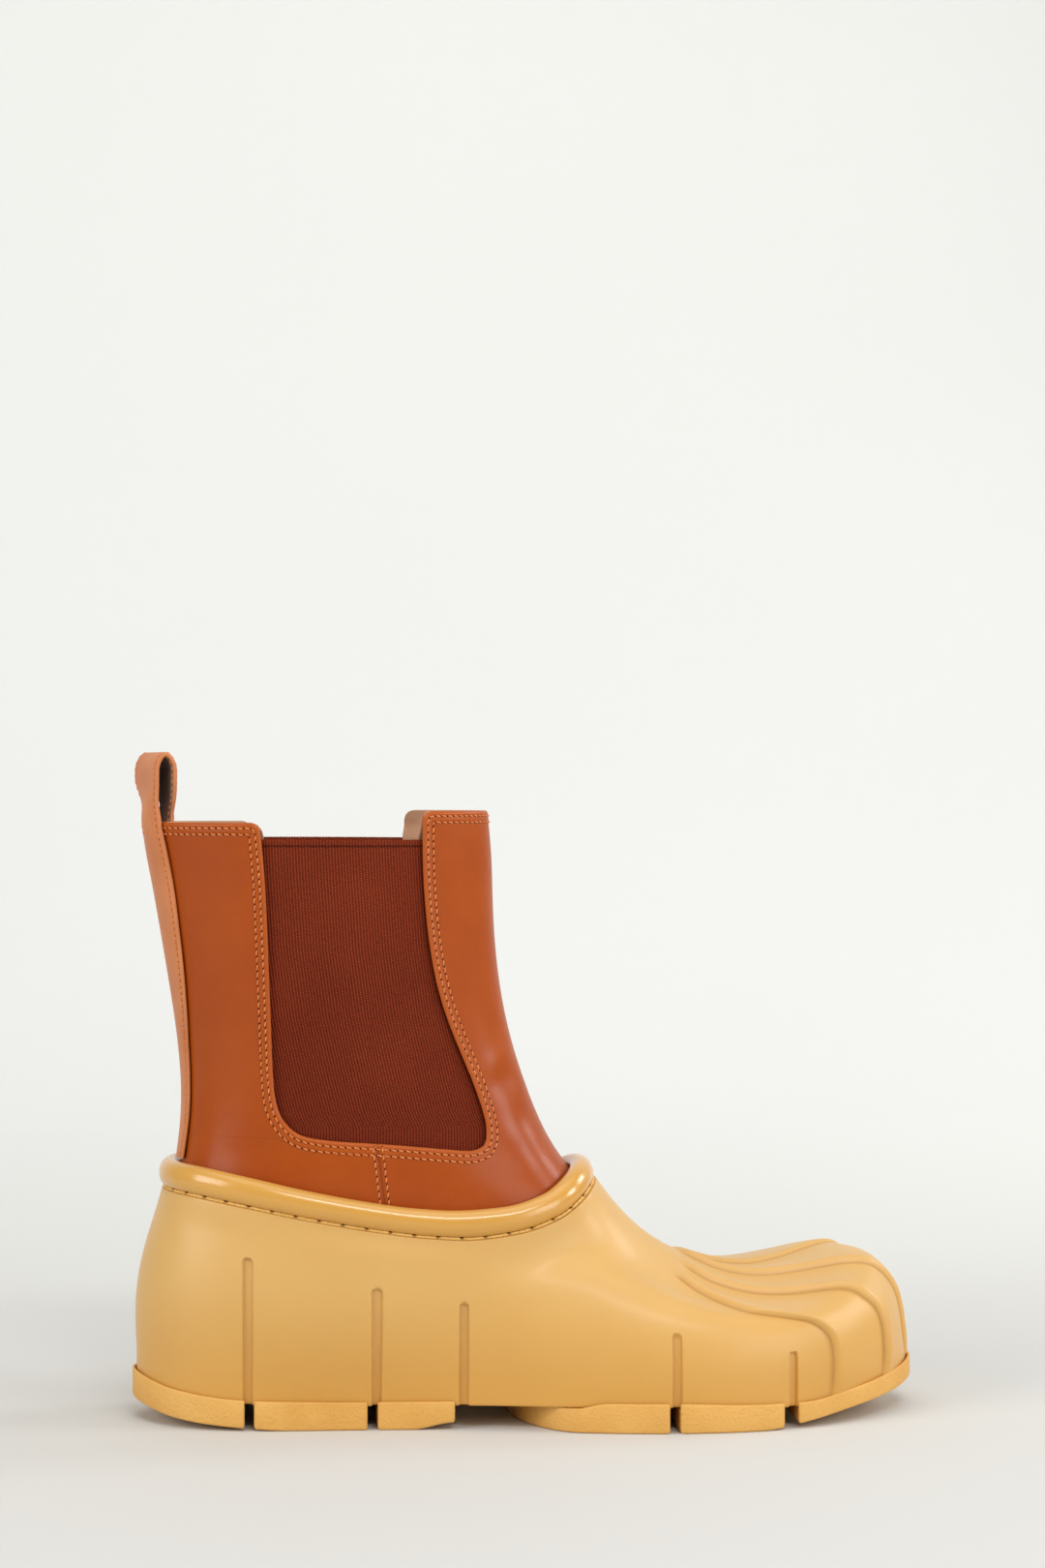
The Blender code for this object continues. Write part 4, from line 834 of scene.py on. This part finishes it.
RIM_PROFILE = table("out up", [
    (5.36, 0.04), (5.20, 0.16), (4.85, 0.24), (4.40, 0.28), (4.16, 0.42), (4.10, 0.70), (4.10, 1.10),
    (4.14, 1.34), (4.34, 1.45), (4.85, 1.48), (5.40, 1.60), (5.95, 1.92), (6.45, 2.45), (6.85, 3.15),
    (7.10, 4.00), (7.20, 4.95), (7.08, 5.90), (6.68, 6.82), (6.05, 7.60), (5.25, 8.16), (4.30, 8.51),
    (3.40, 8.62), (2.45, 8.56), (1.60, 8.34), (0.95, 7.96), (0.52, 7.45), (0.32, 6.80), (0.30, 4.0),
    (0.30, 0.0), (0.30, -7.5),
])
BEAD_FOOT = 1.5                              # height at which the bead starts over the stitch line
BEAD_TALL = table("x share", [(-131, 1.28), (-30, 1.26), (-8, 1.10), (12, 0.97), (22, 0.96)])


def bead_height(turn, up):
    """Heights in the rim's section over the stitch line, stretched where the bead is taller."""
    share = follow(BEAD_TALL["x"], BEAD_TALL["share"], shaft_face(turn, RIM_LEVEL)[..., 0])
    return np.minimum(up, BEAD_FOOT) + np.maximum(up - BEAD_FOOT, 0.0) * share


def edge_knots():
    """Place of each section along the galosh's lower edge, by chord length, and the whole length."""
    points = np.stack([EDGE["x"], EDGE["y"]], axis=-1)
    chords = np.linalg.norm(np.roll(points, -1, axis=0) - points, axis=1)
    return np.append(0.0, np.cumsum(chords)[:-1]), chords.sum()


KNOTS, AROUND = edge_knots()


def along_at(section):
    """Distance along the lower edge for a section number, whole or between two sections."""
    return np.interp(section, np.arange(len(KNOTS) + 1), np.append(KNOTS, AROUND))


def galosh_net():
    """Points of each section's profile, from the lower edge up to the rim's neck.

    A plain wall is straight with a sine bulge; a forefoot section takes its own insets and heights.
    """
    lower = follow(TREAD["x"], TREAD["lip"], EDGE["x"]) - LIP_LAP
    edge, turn = np.stack([EDGE["x"], EDGE["y"], lower], axis=-1), EDGE["turn"]
    neck = lifted(shaft_face, turn, rim_height(turn), RIM_NECK)
    ahead, behind = (spline_weights(KNOTS, KNOTS + step, AROUND) @ edge for step in (0.5, -0.5))
    tangent = unit((ahead - behind)[:, :2])
    out = np.stack([tangent[:, 1], -tangent[:, 0], np.zeros(len(turn))], axis=-1)
    inward = (neck - edge) * np.array([1.0, 1.0, 0.0])
    inward /= np.maximum(np.linalg.norm(inward, axis=1, keepdims=True), 1e-9)
    toes = slice(FIRST_TOE_SECTION, FIRST_TOE_SECTION + len(FOREFOOT["wall_z"]))
    net = [edge]
    for number, row in enumerate(PROFILE_ROWS, start=1):
        swell = EDGE["bulge"] * math.sin(math.pi * number / NECK_ROW) ** SWELL_POWER
        points = edge + (neck - edge) * number / NECK_ROW + out * swell[:, None]
        points[toes] = edge[toes] + inward[toes] * FOREFOOT[row + "_in"][:, None]
        points[toes, 2] = FOREFOOT[row + "_z"]
        net.append(points)
    return np.array(net + [neck])


NET = galosh_net()


def rim_turn(along):
    """Turn round the rim above a place on the lower edge."""
    return follow(np.append(KNOTS, AROUND), np.append(EDGE["turn"], 1.0), np.mod(along, AROUND))


def galosh_face(along, row):
    """Outside of the galosh: a closed spline round the sections, and a spline up their profiles.

    Its lower edge is set on the tread's line, and that change fades out up the wall.
    """
    along, row = np.broadcast_arrays(np.asarray(along, dtype=float), np.asarray(row, dtype=float))
    around = spline_weights(KNOTS, along, AROUND)
    up = spline_weights(np.arange(NECK_ROW + 1.0), row)
    points = np.einsum("...s,...sk->...k", around, np.einsum("...r,rsk->...sk", up, NET))
    edge = around @ NET[0]
    off_line = follow(TREAD["x"], TREAD["lip"], edge[..., 0]) - LIP_LAP - edge[..., 2]
    points[..., 2] += off_line * np.clip(1 - row / 2, 0.0, 1.0) ** 2
    return points


def rib_creases(rows):
    """Place along the edge of each rib's crease in every row, and of the last rib's end."""
    lines = [along_at(follow(RIB_LINES["row"], RIB_LINES[name], rows)) for name in RIBS]
    return np.stack(lines + [np.full(len(rows), along_at(RIBS_END))], axis=-1)


def groove_centres(rows):
    """Place along the edge of every side groove in each row, upright in side view up to its top.

    Each row is searched for the groove's x; above its top a groove's columns stay behind the first rib.
    """
    toe, climb = along_at(TOE_TIP), np.linspace(0.0, 5.0, 101)
    centres = []
    for steps, order in ((np.linspace(0.0, toe, 801), 1), (np.linspace(AROUND, toe, 801), -1)):
        reach = galosh_face(steps, climb[:, None])[..., 0]
        for x, top in list(zip(GROOVES["x"], GROOVES["top"]))[::order]:
            upright = np.array([np.interp(x, line, steps) for line in reach])
            top_row = np.interp(top, galosh_face(upright, climb)[:, 2], climb)
            centres.append(np.interp(np.minimum(rows, top_row + 0.3), climb, upright))
    centres = np.stack(centres, axis=-1)
    last = len(GROOVES["x"]) - 1
    centres[:, last] = np.minimum(centres[:, last], rib_creases(rows)[:, 0] - GROOVE_CLEAR)
    return centres


GROOVE_TOPS = np.append(GROOVES["top"], GROOVES["top"][::-1])


def plain_columns(rows, low, high, picked):
    """Evenly pitched columns between two places, close over the walls of each picked groove.

    They are laid out in the first profile row, and in every other row they keep their share of the way
    between the marks beside them: the two places, and each groove's middle and both its sides.
    """
    close = np.concatenate([-GROOVE_STEPS[:0:-1], GROOVE_STEPS])
    marks = []
    for level in (np.array([1.0]), rows):
        held = groove_centres(level)[:, picked, None] + np.array([-GROOVE_HOLD, 0.0, GROOVE_HOLD])
        ends = [np.broadcast_to(end(level), len(level))[:, None] for end in (low, high)]
        marks.append(np.concatenate([ends[0], held.reshape(len(level), -1), ends[1]], axis=1))
    first, last = marks[0][0, [0, -1]]
    centres = groove_centres(np.array([1.0]))[0, picked]
    even = np.linspace(first, last, int((last - first) / COLUMN_PITCH))
    free = np.abs(even[:, None] - centres).min(axis=1) > GROOVE_WIDTH
    columns = np.unique(np.append(even[free], (centres[:, None] + close).ravel()))[:-1]
    return np.array([np.interp(columns, marks[0][0], row) for row in marks[1]])


def galosh_columns(rows):
    """Place along the edge of every column in each row, the height of the toe ribs there, and the painted
    shade along their creases.

    Over a rib the columns keep their distance in millimetres from its crease: it climbs by a quarter
    sine to its crest, then slopes off by a power towards the next crease.
    """
    creases = rib_creases(rows)
    half = len(GROOVES["x"])
    outer = plain_columns(rows, lambda _: 0.0, lambda level: rib_creases(level)[:, 0], np.arange(half))
    inner = plain_columns(rows, lambda _: along_at(RIBS_END), lambda _: AROUND, np.arange(half, 2 * half))
    grids = [(outer, 0 * outer, 0 * outer)]
    for rib, (start, tall) in enumerate(RIBS.values()):
        crease, gap = creases[:, rib], creases[:, rib + 1] - creases[:, rib]
        pace = np.linalg.norm(galosh_face(crease + 0.5, rows) - galosh_face(crease - 0.5, rows), axis=-1)
        pace = np.maximum(pace, RIB_STEPS[-1] / (0.5 * gap))
        tail = between(np.full(len(rows), RIB_STEPS[-1]), gap * pace, 14)[:, 1:-1]
        reach = np.concatenate([np.broadcast_to(RIB_STEPS, (len(rows), len(RIB_STEPS))), tail], axis=1)
        fall = np.clip((reach - RIB_FLANK) / (RIB_END * gap * pace - RIB_FLANK)[:, None], 0, 1)
        rise = np.sin(np.clip(reach / RIB_FLANK, 0, 1) * math.pi / 2)
        fin = smooth_step(start, start - RIB_RISE, rows)
        fin = fin * (RIB_FOOT + (1 - RIB_FOOT) * smooth_step(0.0, 0.9, rows))
        fin = fin[:, None]
        # The third grid is painted shade, darkest in each rib's crease.
        grids.append((crease[:, None] + reach / pace[:, None], tall * fin * rise * (1 - fall) ** RIB_POWER,
                      fin * np.exp(-(reach / CREASE_SHADE_WIDTH) ** 2)))
    grids.append((inner, 0 * inner, 0 * inner))
    return [np.concatenate(kind, axis=1) for kind in zip(*grids)]


def groove_depth(along, z, rows):
    """Depth of the side grooves: level within a rounded bar about each centre line, with steep walls."""
    beside = np.abs(along[..., None] - groove_centres(rows)[:, None])
    above = np.clip(z[..., None] - (GROOVE_TOPS - GROOVE_WIDTH / 2), 0, None)
    off = np.sqrt(beside ** 2 + above ** 2).min(axis=-1)
    outer, inner = (GROOVE_WIDTH / 2 + blend for blend in GROOVE_BLEND)
    return GROOVE_DEPTH * smooth_step(outer, inner, off)


def two_sides(x):
    """Points of a closed ring from its heel to its toe, by number, along one side and along the other."""
    heel, toe, count = np.argmin(x), np.argmax(x), len(x)
    return (np.arange(heel, heel + (toe - heel) % count + 1) % count,
            np.arange(heel, heel - (heel - toe) % count - 1, -1) % count)


def zip_faces(first, second, x):
    """Triangles between two chains from the heel point to the toe, taken in the order of their x."""
    chain = np.concatenate([np.zeros(len(first), int), np.ones(len(second), int)])
    index = np.concatenate([first, second])
    reach = np.concatenate([np.maximum.accumulate(x[first]), np.maximum.accumulate(x[second])])
    order = np.argsort(reach, kind="stable")
    chain, index = chain[order], index[order]
    spot = np.arange(len(index))
    latest = [np.maximum.accumulate(np.where(chain == side, spot, -1)) for side in (0, 1)]
    own = [np.append(-1, line[:-1]) for line in latest]
    mine, other = np.where(chain == 0, own[0], own[1]), np.where(chain == 0, latest[1], latest[0])
    good = (mine >= 0) & (other >= 0) & (index[mine] != index[other])
    triangles = np.stack([index[mine], index, index[other]], axis=-1)[good]
    triangles[chain[good] == 1] = triangles[chain[good] == 1][:, ::-1]
    return triangles


def make_galosh():
    """One skin: edge, outside, rolled rim, inside, with the bottom and the floor zipped from side to side."""
    rows = np.concatenate([[0, .05, .12, .2], np.arange(0.3, 5.15, 0.08), np.arange(5.15, 5.9, 0.035),
                           np.arange(5.9, 6.85, 0.1), [6.9, 6.96, 7.0]])
    along, rib, crease_shade = galosh_columns(rows)
    level = rows[:, None]
    lift = rib - groove_depth(along, galosh_face(along, level)[..., 2], rows)
    outside = lifted(galosh_face, along, level, lift)
    turns = rim_turn(along[-1])
    stitch = rim_height(turns)
    neck = lifted(shaft_face, turns, stitch, RIM_NECK)
    outside += (neck - outside[-1]) * smooth_step(6.0, 7.0, rows)[:, None, None]
    around, up = np.broadcast_arrays(turns, RIM_PROFILE["up"][:, None])
    rim = lifted(shaft_face, around, stitch + bead_height(around, up), RIM_PROFILE["out"][:, None])
    low_rows = np.array([6.0, 5.0, 4.2, 3.4, 2.4, 1.4, FLOOR_ROW])
    inside = lifted(galosh_face, galosh_columns(low_rows)[0], low_rows[:, None], -RUBBER_WALL)
    under = lifted(galosh_face, along[:1], level[:1], lift[:1] - EDGE_BEVEL)
    under[..., 2] = outside[:1, :, 2] - EDGE_DROP
    outside[0, :, :2] += (under[0, :, :2] - outside[0, :, :2]) * EDGE_EASE
    rings = np.concatenate([under, outside, rim, inside])
    ring_count, count = rings.shape[:2]
    faces = grid_faces(ring_count, count, closed=True)
    x = rings.reshape(-1, 3)[:, 0]
    for start, flip in ((0, True), ((ring_count - 1) * count, False)):
        outer, inner = (start + side for side in two_sides(x[start:start + count]))
        caps = zip_faces(outer, inner[:-1], x)
        faces += (caps[:, ::-1] if flip else caps).tolist()
    # crease carries the painted shade along the toe ribs' creases; polish marks the bead.
    crease, polish = np.zeros((2, ring_count, count))
    crease[1:len(rows) + 1] = crease_shade
    polish[len(rows) + 7:len(rows) + 1 + len(rim)] = 1.0
    return make_piece("galosh_foot", rings, faces, [rubber], sharp=48, crease=crease, polish=polish)


rubber = Finish("yellow_rubber_galosh", Specular_IOR_Level=0.65, Coat_Roughness=0.24,
                Sheen_Weight=0.12, Sheen_Roughness=0.4)
cloud, skin = rubber.noise(18.0, 4.0), rubber.noise(700.0, 3.0)
polish = rubber.attribute("polish")
# Painted sheen: the base colour turns paler up the wall from 14 to 50 mm high, but not on the polished bead.
height = rubber.node("SeparateXYZ", {0: rubber.place}, output="Z")
painted_sheen_by_height = rubber.maths("SUBTRACT", rubber.spread(height, 0.014, 0.050), rubber.times(polish, 0.9))
deep = rubber.two_tone(cloud, (205, 149, 60), (210, 155, 66))
pale = rubber.two_tone(cloud, (207, 160, 84), (212, 166, 91))
# Painted shade: the base colour darkened to brown along each toe rib's crease.
painted_crease_shade = rubber.times(rubber.attribute("crease"), 0.5)
rubber.link("Base Color", rubber.mix(painted_crease_shade, rubber.mix(painted_sheen_by_height, deep, pale), (162, 110, 34)))
rubber.link("Roughness", rubber.times(rubber.spread(skin, 0.3, 0.7, 0.44, 0.54),
                                      rubber.spread(polish, 0.0, 1.0, 1.0, 0.42)))
rubber.link("Coat Weight", rubber.spread(polish, 0.0, 1.0, 0.14, 0.22))
rubber.bumps((cloud, 0.15), (skin, 0.02))
galosh = make_galosh()
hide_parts("galosh")

# Rim thread
# Thick yellow cord in the channel under the bead: one long stitch between every two holes, through
# rubber and leather. It is laid of two strands, and dips into each hole.
RIM_STITCH, CORD = 8.3, 0.60                 # pitch of the stitches, and radius of the cord
CORD_UP, CORD_OUT, CORD_DIP, CORD_TWIST = 0.86, 4.55, 0.85, 2.1
DIP_REACH, CORD_RIPPLE = 0.75, 0.13          # half the length of a dip, and the strands' share of the radius
RIM_HOLE_UP, RIM_HOLE_OUT, RIM_HOLE_DEEP = 1.30, 4.72, 0.5
RIM_HOLE_LONG, RIM_HOLE_WIDE = 0.75, 0.42

cord_finish = speckled("yellow_rim_cord", (1400.0, 3.0), ((214, 160, 74), (236, 190, 108)), 0.08,
                       Roughness=0.55)
# Painted shade inside the rim's stitch holes.
rim_hole_finish = speckled("rim_hole_shade", (900.0, 2.0), ((74, 48, 12), (104, 70, 22)),
                           Roughness=0.9, Specular_IOR_Level=0.1)


def make_rim_thread():
    """The cord as a tube along the channel, its radius rippled by a turning second harmonic.

    At each hole it sinks by a bell curve. The holes are dark plugs of painted shade at the channel's upper
    edge.
    """
    turn = np.linspace(0.0, 1.0, 3001)
    pace = pace_along(lifted(shaft_face, turn, rim_height(turn) + CORD_UP, CORD_OUT))
    count = round(pace[-1] / RIM_STITCH)
    at = np.linspace(0.0, pace[-1], count * 26 + 1)[:-1]
    here = np.interp(at, pace, turn)
    beside = (np.mod(at / pace[-1] * count + 0.5, 1.0) - 0.5) * pace[-1] / count
    z = rim_height(here) + CORD_UP
    centre = lifted(shaft_face, here, z, CORD_OUT - CORD_DIP * np.exp(-(beside / DIP_REACH) ** 2))[:, None]
    normal = outward(shaft_face, here, z)[:, None]
    across = unit(np.cross(np.roll(centre, -1, axis=0) - np.roll(centre, 1, axis=0), normal))
    angle = np.arange(10) * math.pi / 5
    ripple = np.cos(2 * (angle - 2 * math.pi * at[:, None] / CORD_TWIST / 2))[..., None]
    tube = centre + CORD * (1 + CORD_RIPPLE * ripple) * (normal * np.sin(angle)[:, None]
                                                         + across * np.cos(angle)[:, None])
    rings = np.concatenate([tube, tube[:1]])
    faces = grid_faces(*rings.shape[:2], closed=True, flip=True)
    make_piece("rim_cord", rings, faces, [cord_finish], sharp=80)
    spots = np.interp(np.arange(count) * pace[-1] / count, pace, turn)
    level = rim_height(spots) + RIM_HOLE_UP
    normal = outward(shaft_face, spots, level)[:, None]
    ahead = unit(np.cross(normal, np.array([0.0, 0.0, 1.0])))
    holes = (lifted(shaft_face, spots, level, RIM_HOLE_OUT)[:, None]
             + RIM_HOLE_LONG * np.cos(HEXAGON) * ahead
             + RIM_HOLE_WIDE * np.sin(HEXAGON) * np.cross(ahead, normal))
    make_holes("rim_holes", np.stack([holes, holes - RIM_HOLE_DEEP * normal], axis=1), rim_hole_finish)


make_rim_thread()

# Tread pads
# Six blocks moulded on under the galosh in the same rubber, with a fine pebbled face. A thin lip of
# each laps the galosh's lower edge, and slots part them from each other.
PADS = {
    "pad_heel_rear": (-141.0, -101.3, 0.0, 0.0),
    "pad_heel_middle": (-98.0, -58.6, 0.0, 0.0),
    "pad_heel_front": (-55.0, -28.2, 0.0, 2.6),
    "pad_ball_rear": (-7.4, 45.6, 22.4, 0.0),
    "pad_ball_front": (49.2, 86.4, 0.0, 0.0),
    "pad_toe": (91.6, 141.0, 0.0, 0.0),
}
PAD_BEVEL_LENGTH, PAD_ROUND, LIP_END, LIP_RUN = 15.0, 0.9, 0.14, 9.0
PAD_PROFILE = [
    (0.30, "ground", 0.0), (0.72, "ground", 0.04), (1.10, "ground", 0.18), (1.38, "ground", 0.46),
    (1.50, "ground", 0.90), (1.50, "lip", -0.75), (1.44, "lip", -0.36), (1.28, "lip", -0.10),
    (1.05, "lip", 0.0), (0.72, "lip", 0.0), (0.60, "lip", -0.10), (0.55, "lip", -0.35),
    (0.55, "lip", -LIP_LAP - CLEARANCE),
]


def edge_curve(out, side):
    """The galosh's lower edge moved outwards, as x and y from heel to toe along one side."""
    steps = np.linspace(0.0, AROUND, 2801)[:-1]
    points = galosh_face(steps, 0.0)
    tangent = galosh_face(steps + 0.2, 0.0) - galosh_face(steps - 0.2, 0.0)
    tangent /= np.linalg.norm(tangent[:, :2], axis=1, keepdims=True)
    x, y = points[:, 0] + out * tangent[:, 1], points[:, 1] - out * tangent[:, 0]
    picked = two_sides(x)[0 if side == OUTER else 1]
    return x[picked], y[picked]


def pad_sections(rear, front, rounding, bevel):
    """Cross sections of a pad from rear to front, each a ring up one wall, over, down the other and back.

    At a cut end the last sections draw in by a quarter circle; at the heel and toe they meet in a point,
    and a rounded rear end draws in along an ellipse, where its lip runs out.
    """
    heel_end, toe_end = rear <= HEEL_X, front >= TOE_X
    tip = heel_end or rounding > 0
    ease = np.array([0, .15, .5, 1.0])
    draw = PAD_ROUND * (1 - np.sqrt(1 - (1 - ease) ** 2))
    share = np.linspace(0.0, 1.0, 48 if tip or toe_end else 22)
    if tip:
        share = 1 - np.cos(share * math.pi / 2)
    if toe_end:
        share = np.sin(share * math.pi / 2)
    first, last = rear + (0 if tip else PAD_ROUND), front - (0 if toe_end else PAD_ROUND)
    place = first + (last - first) * share
    inset = np.zeros(len(place))
    if not tip:
        place, inset = np.append(rear + PAD_ROUND * ease[:-1], place), np.append(draw[:-1], inset)
    if not toe_end:
        place, inset = np.append(place, front - PAD_ROUND * ease[-2::-1]), np.append(inset, draw[-2::-1])
    seat = -LIP_LAP - CLEARANCE
    walls = []
    for side in (OUTER, INNER):
        wall = []
        for out, level, rise in PAD_PROFILE:
            xs, ys = edge_curve(out, side)
            start = xs[0] if heel_end else rear + (TREAD_PROUD - out if rounding else 0.0)
            end = xs[-1] if toe_end else front
            x = start + (end - start) * (place - rear) / (front - rear)
            drawn = np.clip((start + rounding - x) / max(rounding, 1e-9), 0.0, 1.0)
            y = np.interp(x, xs, ys) * np.sqrt(1 - drawn ** 2)
            y = y - side * inset * (out > LIP_CLEARANCE + 0.02)
            z = follow(TREAD["x"], TREAD[level], x)
            if level == "ground":
                z = z + rise + inset + bevel * smooth_step(front - PAD_BEVEL_LENGTH, front, x)
            else:
                run = seat * smooth_step(start + rounding + LIP_RUN, start + rounding * (1 - LIP_END), x)
                z = z + np.maximum(rise + run * (rounding > 0), seat) - 0.5 * inset
            wall.append(np.stack([x, y, z], axis=-1))
        walls.append(np.stack(wall, axis=1))
    return np.concatenate([walls[0], walls[1][:, ::-1]], axis=1)


def end_faces(start, corners, flip):
    """One end of a pad: a strip from its sole up to its seat, and the wall's profile on each side."""
    side = corners // 2
    faces = [list(range(side)), list(range(side, corners)), [side - 1, side, corners - 1, 0]]
    return [[start + corner for corner in (face[::-1] if flip else face)] for face in faces]


tread = speckled("yellow_rubber_tread", (40.0, 4.0), ((212, 156, 72), (224, 172, 90)), 0.1,
                 (1100.0, 1.0, "SMOOTH_F1", 0.22), Roughness=0.62)
for pad_name, pad_sizes in PADS.items():
    rear, front, rounding, _ = pad_sizes
    sections = pad_sections(*pad_sizes)
    rows, columns = sections.shape[:2]
    faces = grid_faces(rows, columns, closed=True, flip=True)
    if rear > HEEL_X and not rounding:
        faces += end_faces(0, columns, False)
    if front < TOE_X:
        faces += end_faces((rows - 1) * columns, columns, True)
    pad = make_piece("tread_" + pad_name, sections, faces, [tread])
    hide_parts(pad_name)

# Insole
# A loose foam board with a fabric face, laid on the galosh's floor inside the wall.
INSOLE_WALL, INSOLE_INSET, INSOLE_EDGE = 3.2, 1.2, 0.55   # the last is the edge's share of the wall

foam = speckled("insole_foam_face", (50.0, 4.0), ((176, 132, 98), (196, 152, 116)), 0.2,
                (900.0, 0.4, "F1", 0.15), Roughness=0.9, Sheen_Weight=0.2)


def make_insole():
    """A crowned board between the two sides of the floor's outline, its edges rounded by a sixth power."""
    steps = np.linspace(0.0, AROUND, 1401)[:-1]
    ring = lifted(galosh_face, steps, FLOOR_ROW, -RUBBER_WALL - INSOLE_INSET)
    ring[:, 2] = lifted(galosh_face, steps, FLOOR_ROW, -RUBBER_WALL)[:, 2]
    sides = [ring[picked] for picked in two_sides(ring[:, 0])]
    rear, front = sides[0][[0, -1], 0]
    x = rear + (front - rear) * (1 - np.cos(np.linspace(0, math.pi, 90))) / 2
    (y0, y1), (z0, z1) = ([np.interp(x, side[:, 0], side[:, axis])[:, None] for side in sides]
                          for axis in (1, 2))
    across = np.sin(np.linspace(-1, 1, 27) * math.pi / 2)
    share = (across + 1) / 2
    y = y0 * (1 - share) + y1 * share
    base = z0 * (1 - share) + z1 * share + CLEARANCE
    top = base + INSOLE_WALL * (INSOLE_EDGE + (1 - INSOLE_EDGE) * (1 - np.abs(across) ** 6))
    upper, lower = (np.stack(np.broadcast_arrays(x[:, None], y, z), axis=-1) for z in (top, base))
    rings = np.concatenate([upper, lower[:, ::-1]], axis=1)
    return make_piece("insole_board", rings, grid_faces(*rings.shape[:2], closed=True, flip=True), [foam])


insole = make_insole()
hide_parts("insole")

# Studio
# A pale floor that sweeps up into the backdrop, wide soft lights, and the camera at the photograph's
# place: level, square to the boot's outer side but for five degrees.
SWEEP_RADIUS, SWEEP_FRONT, SWEEP_BACK, SWEEP_TOP, SWEEP_HALF = 0.9, -2.6, 1.9, 3.2, 3.0   # metres
SOFT_WHITE = (1.0, 0.995, 0.985)
BOOT = (0.0, 0.0, 0.1)                       # the place that most lights face

paper = Finish("studio_paper", Roughness=0.9)
cloud = paper.noise(1.2, 2.0)
away = paper.node("SeparateXYZ", {"Vector": paper.place}, output="Y")
wall = paper.two_tone(cloud, (239, 239, 236), (242, 242, 239))
lying = paper.two_tone(cloud, (206, 205, 201), (210, 209, 205))
paper.link("Base Color", paper.mix(paper.spread(away, 0.1, 1.0), lying, wall))
bend = np.linspace(0, math.pi / 2, 24)
path_y = np.concatenate([[SWEEP_FRONT, -1.0, 0.0], SWEEP_BACK - SWEEP_RADIUS * (1 - np.sin(bend)),
                         [SWEEP_BACK]])
path_z = np.concatenate([[0.0, 0.0, 0.0], SWEEP_RADIUS * (1 - np.cos(bend)), [SWEEP_TOP]])
across = np.linspace(-SWEEP_HALF, SWEEP_HALF, 9)
sheet = np.stack(np.broadcast_arrays(across, path_y[:, None], path_z[:, None]), axis=-1)
mesh = bpy.data.meshes.new("studio_sweep")
mesh.from_pydata(sheet.reshape(-1, 3).tolist(), [], grid_faces(*sheet.shape[:2]))
mesh.shade_smooth()
mesh.materials.append(paper.material)
floor = bpy.data.objects.new("studio_sweep", mesh)
bpy.context.collection.objects.link(floor)


def soft_light(name, place, target, wide, tall, power):
    """A level area light at a place in metres, turned to its target."""
    light = bpy.data.lights.new(name, "AREA")
    light.shape, light.size, light.size_y, light.energy = "RECTANGLE", wide, tall, power
    light.color = SOFT_WHITE
    lamp = bpy.data.objects.new(name, light)
    lamp.location = place
    way = np.array(target) - np.array(place)
    lamp.rotation_euler = (math.atan2(math.hypot(way[0], way[1]), -way[2]), 0.0, math.atan2(-way[0], way[1]))
    bpy.context.collection.objects.link(lamp)


soft_light("front", (0.25, -1.70, 1.65), BOOT, 0.8, 0.3, 12.0)
soft_light("low_front", (1.25, -1.6, 0.6), BOOT, 1.0, 1.0, 11.5)
soft_light("right", (1.75, -0.4, 0.9), BOOT, 0.55, 0.55, 9.5)
soft_light("right_rear", (1.4, 0.55, 1.0), BOOT, 0.5, 0.5, 6.5)
soft_light("left", (-1.7, -1.0, 0.9), BOOT, 1.2, 1.2, 21.0)
soft_light("top", (0.0, -0.5, 2.2), (0.0, 0.0, 0.0), 1.8, 1.8, 10.0)
soft_light("backdrop", (0.0, 0.5, 2.5), (0.0, 1.9, 0.9), 2.6, 2.6, 12.0)
world = bpy.data.worlds.new("studio_air")
bpy.context.scene.world = world
world.use_nodes = True
world.node_tree.nodes["Background"].inputs["Color"].default_value = (0.97, 1.0, 1.0, 1.0)
world.node_tree.nodes["Background"].inputs["Strength"].default_value = 0.27
bpy.context.scene.view_settings.view_transform = "Standard"

lens = bpy.data.cameras.new("camera")
lens.lens, lens.sensor_width, lens.sensor_fit = 76.38, 36.0, "AUTO"
lens.clip_start, lens.clip_end = 0.05, 20.0
camera = bpy.data.objects.new("camera", lens)
camera.location = (-0.1058, -1.1953, 0.2251)
camera.rotation_euler = (math.pi / 2, 0.0, -math.radians(5.0))
bpy.context.collection.objects.link(camera)
bpy.context.scene.camera = camera
